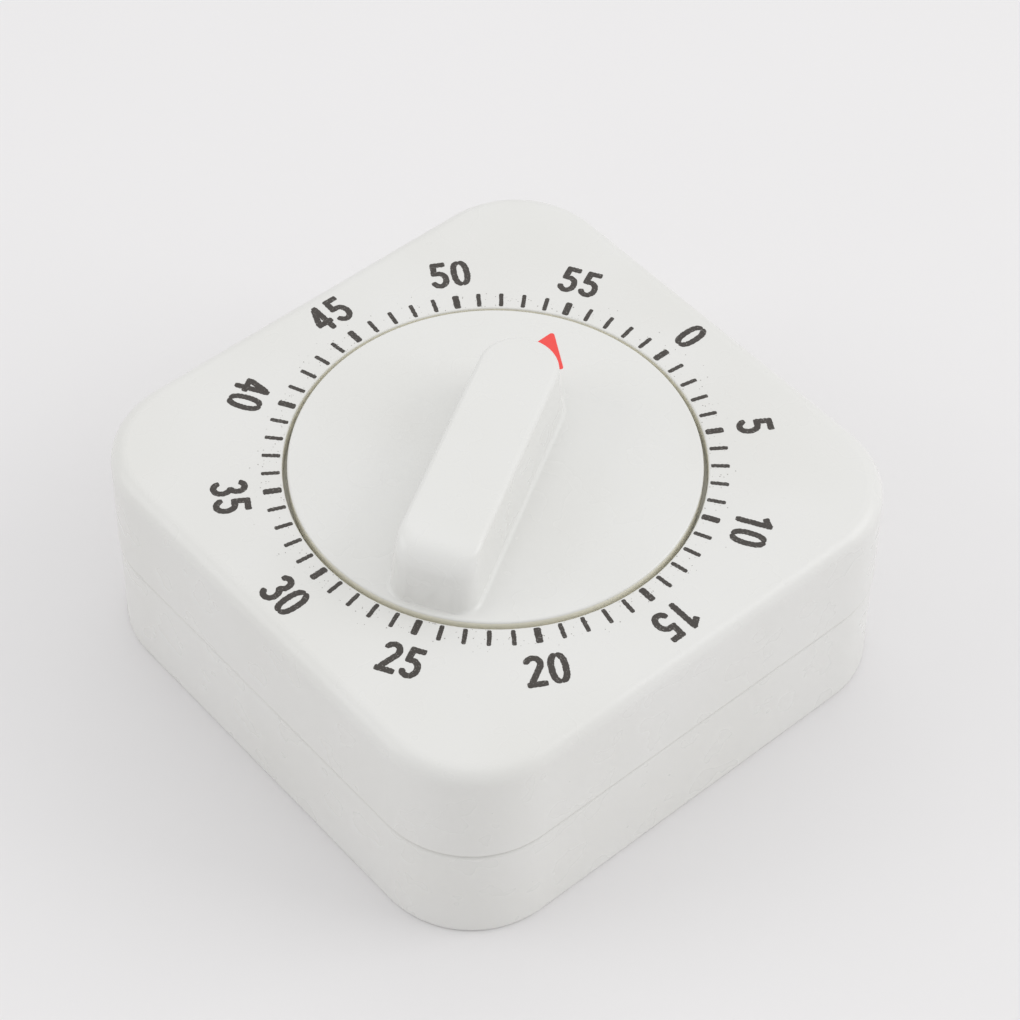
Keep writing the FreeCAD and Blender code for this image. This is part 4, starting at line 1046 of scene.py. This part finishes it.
@dataclass
class Studio:
    """Pale floor, even surrounding light, soft boxes and the camera."""

    floor: PaleBoard
    boxes: tuple[SoftBox, ...]
    surround: Colour = (1.0, 1.0, 1.0)
    surround_strength: float = 0.715
    floor_side: float = 6.0
    camera_place: Colour = (0.17755, -0.15297, 0.29667)
    camera_azimuth: float = 138.81
    camera_down: float = 49.59
    camera_roll: float = 0.71
    lens: float = 104.22
    sensor: float = 36.0

    def build_floor(self) -> bpy.types.Object:
        """Flat square at the height that the timer stands on."""
        half = self.floor_side / 2
        mesh = bpy.data.meshes.new("floor")
        mesh.from_pydata([(-half, -half, 0), (half, -half, 0), (half, half, 0), (-half, half, 0)], [],
                         [(0, 1, 2, 3)])
        floor = bpy.data.objects.new("floor", mesh)
        bpy.context.scene.collection.objects.link(floor)
        wear(floor, self.floor.material())
        return floor

    def build_surround(self) -> None:
        """Even pale light from every side."""
        world = bpy.data.worlds.new("surround")
        world.use_nodes = True
        background = world.node_tree.nodes["Background"]
        background.inputs["Color"].default_value = (*self.surround, 1.0)
        background.inputs["Strength"].default_value = self.surround_strength
        bpy.context.scene.world = world

    def build_camera(self) -> bpy.types.Object:
        """Camera above the near corner, looking down at the timer."""
        data = bpy.data.cameras.new("camera")
        data.lens = self.lens
        data.sensor_width = self.sensor
        camera = bpy.data.objects.new("camera", data)
        bpy.context.scene.collection.objects.link(camera)
        turn = Matrix.Rotation(math.radians(self.camera_azimuth - 90.0), 4, "Z")
        tilt = Matrix.Rotation(math.radians(90.0 - self.camera_down), 4, "X")
        roll = Matrix.Rotation(math.radians(self.camera_roll), 4, "Z")
        camera.matrix_world = Matrix.Translation(self.camera_place) @ turn @ tilt @ roll
        bpy.context.scene.camera = camera
        return camera

    def build(self) -> None:
        """Builds the whole studio."""
        self.build_camera()
        self.build_surround()
        self.build_floor()
        for box in self.boxes:
            box.build()
        bpy.context.scene.view_settings.view_transform = "Standard"


def main() -> None:
    """Builds the studio, the case, the works, the dial and the print, in that order."""
    logging.basicConfig(level=logging.INFO, format="%(name)s: %(message)s")
    studio = Studio(floor=PaleBoard("pale_board", (0.825, 0.815, 0.82)),
                    boxes=(SoftBox("left_box", (-0.75, -0.86, 0.65), 0.8, 2.3),
                           SoftBox("right_box", (0.75, 0.86, 0.65), 0.8, 3.8),
                           SoftBox("top_box", (-0.12, 0.30, 0.80), 1.5, 2.1)))
    studio.build()
    LOG.info("studio")
    # The case's plastic carries the painted glow in the dial's groove and, as its last number, the strength of
    # the shadow painted along the seam.
    case_plastic = MouldedPlastic("white_case_plastic", (0.785, 0.783, 0.765), (0.765, 0.762, 0.738),
                                  (0.24, 0.36), (25.8, 25.6), -0.15, (0.92, 0.90, 0.80), 0.75)
    screw_steel = WorkedMetal("screw_steel", (0.55, 0.55, 0.56), (0.4, 0.4, 0.41), (0.2, 0.4), Grain.TUMBLED)
    LOG.info("case: %s", ", ".join(CaseShells(case_plastic, screw_steel).dress()))
    LOG.info("works: %s", ", ".join(Works().dress()))
    # The dial's plastic carries the same painted glow round the edge of the disc, below the case's face.
    dial_plastic = MouldedPlastic("white_dial_plastic", (0.79, 0.79, 0.772), (0.77, 0.768, 0.745),
                                  (0.20, 0.32), (24.9, 24.98), 0.15, (0.92, 0.90, 0.80))
    dial = DialKnob(dial_plastic)
    LOG.info("dial: %s", dial.build().name)
    red = PrintedInk("red_print", (0.90, 0.075, 0.065), (0.92, 0.16, 0.13), 0.70)
    LOG.info("dial: %s", PointerMark(red, dial).build().name)
    scale = PrintedScale(PrintedInk("dark_print", (0.050, 0.043, 0.037), (0.20, 0.19, 0.175), 0.60),
                         PrintedInk("stray_print", (0.36, 0.35, 0.33), (0.55, 0.54, 0.52), 0.55))
    LOG.info("print: %s", scale.build_marks().name)
    LOG.info("print: %s", scale.build_numbers().name)
    LOG.info("print: %s", scale.build_specks().name)


if __name__ == "__main__":
    main()
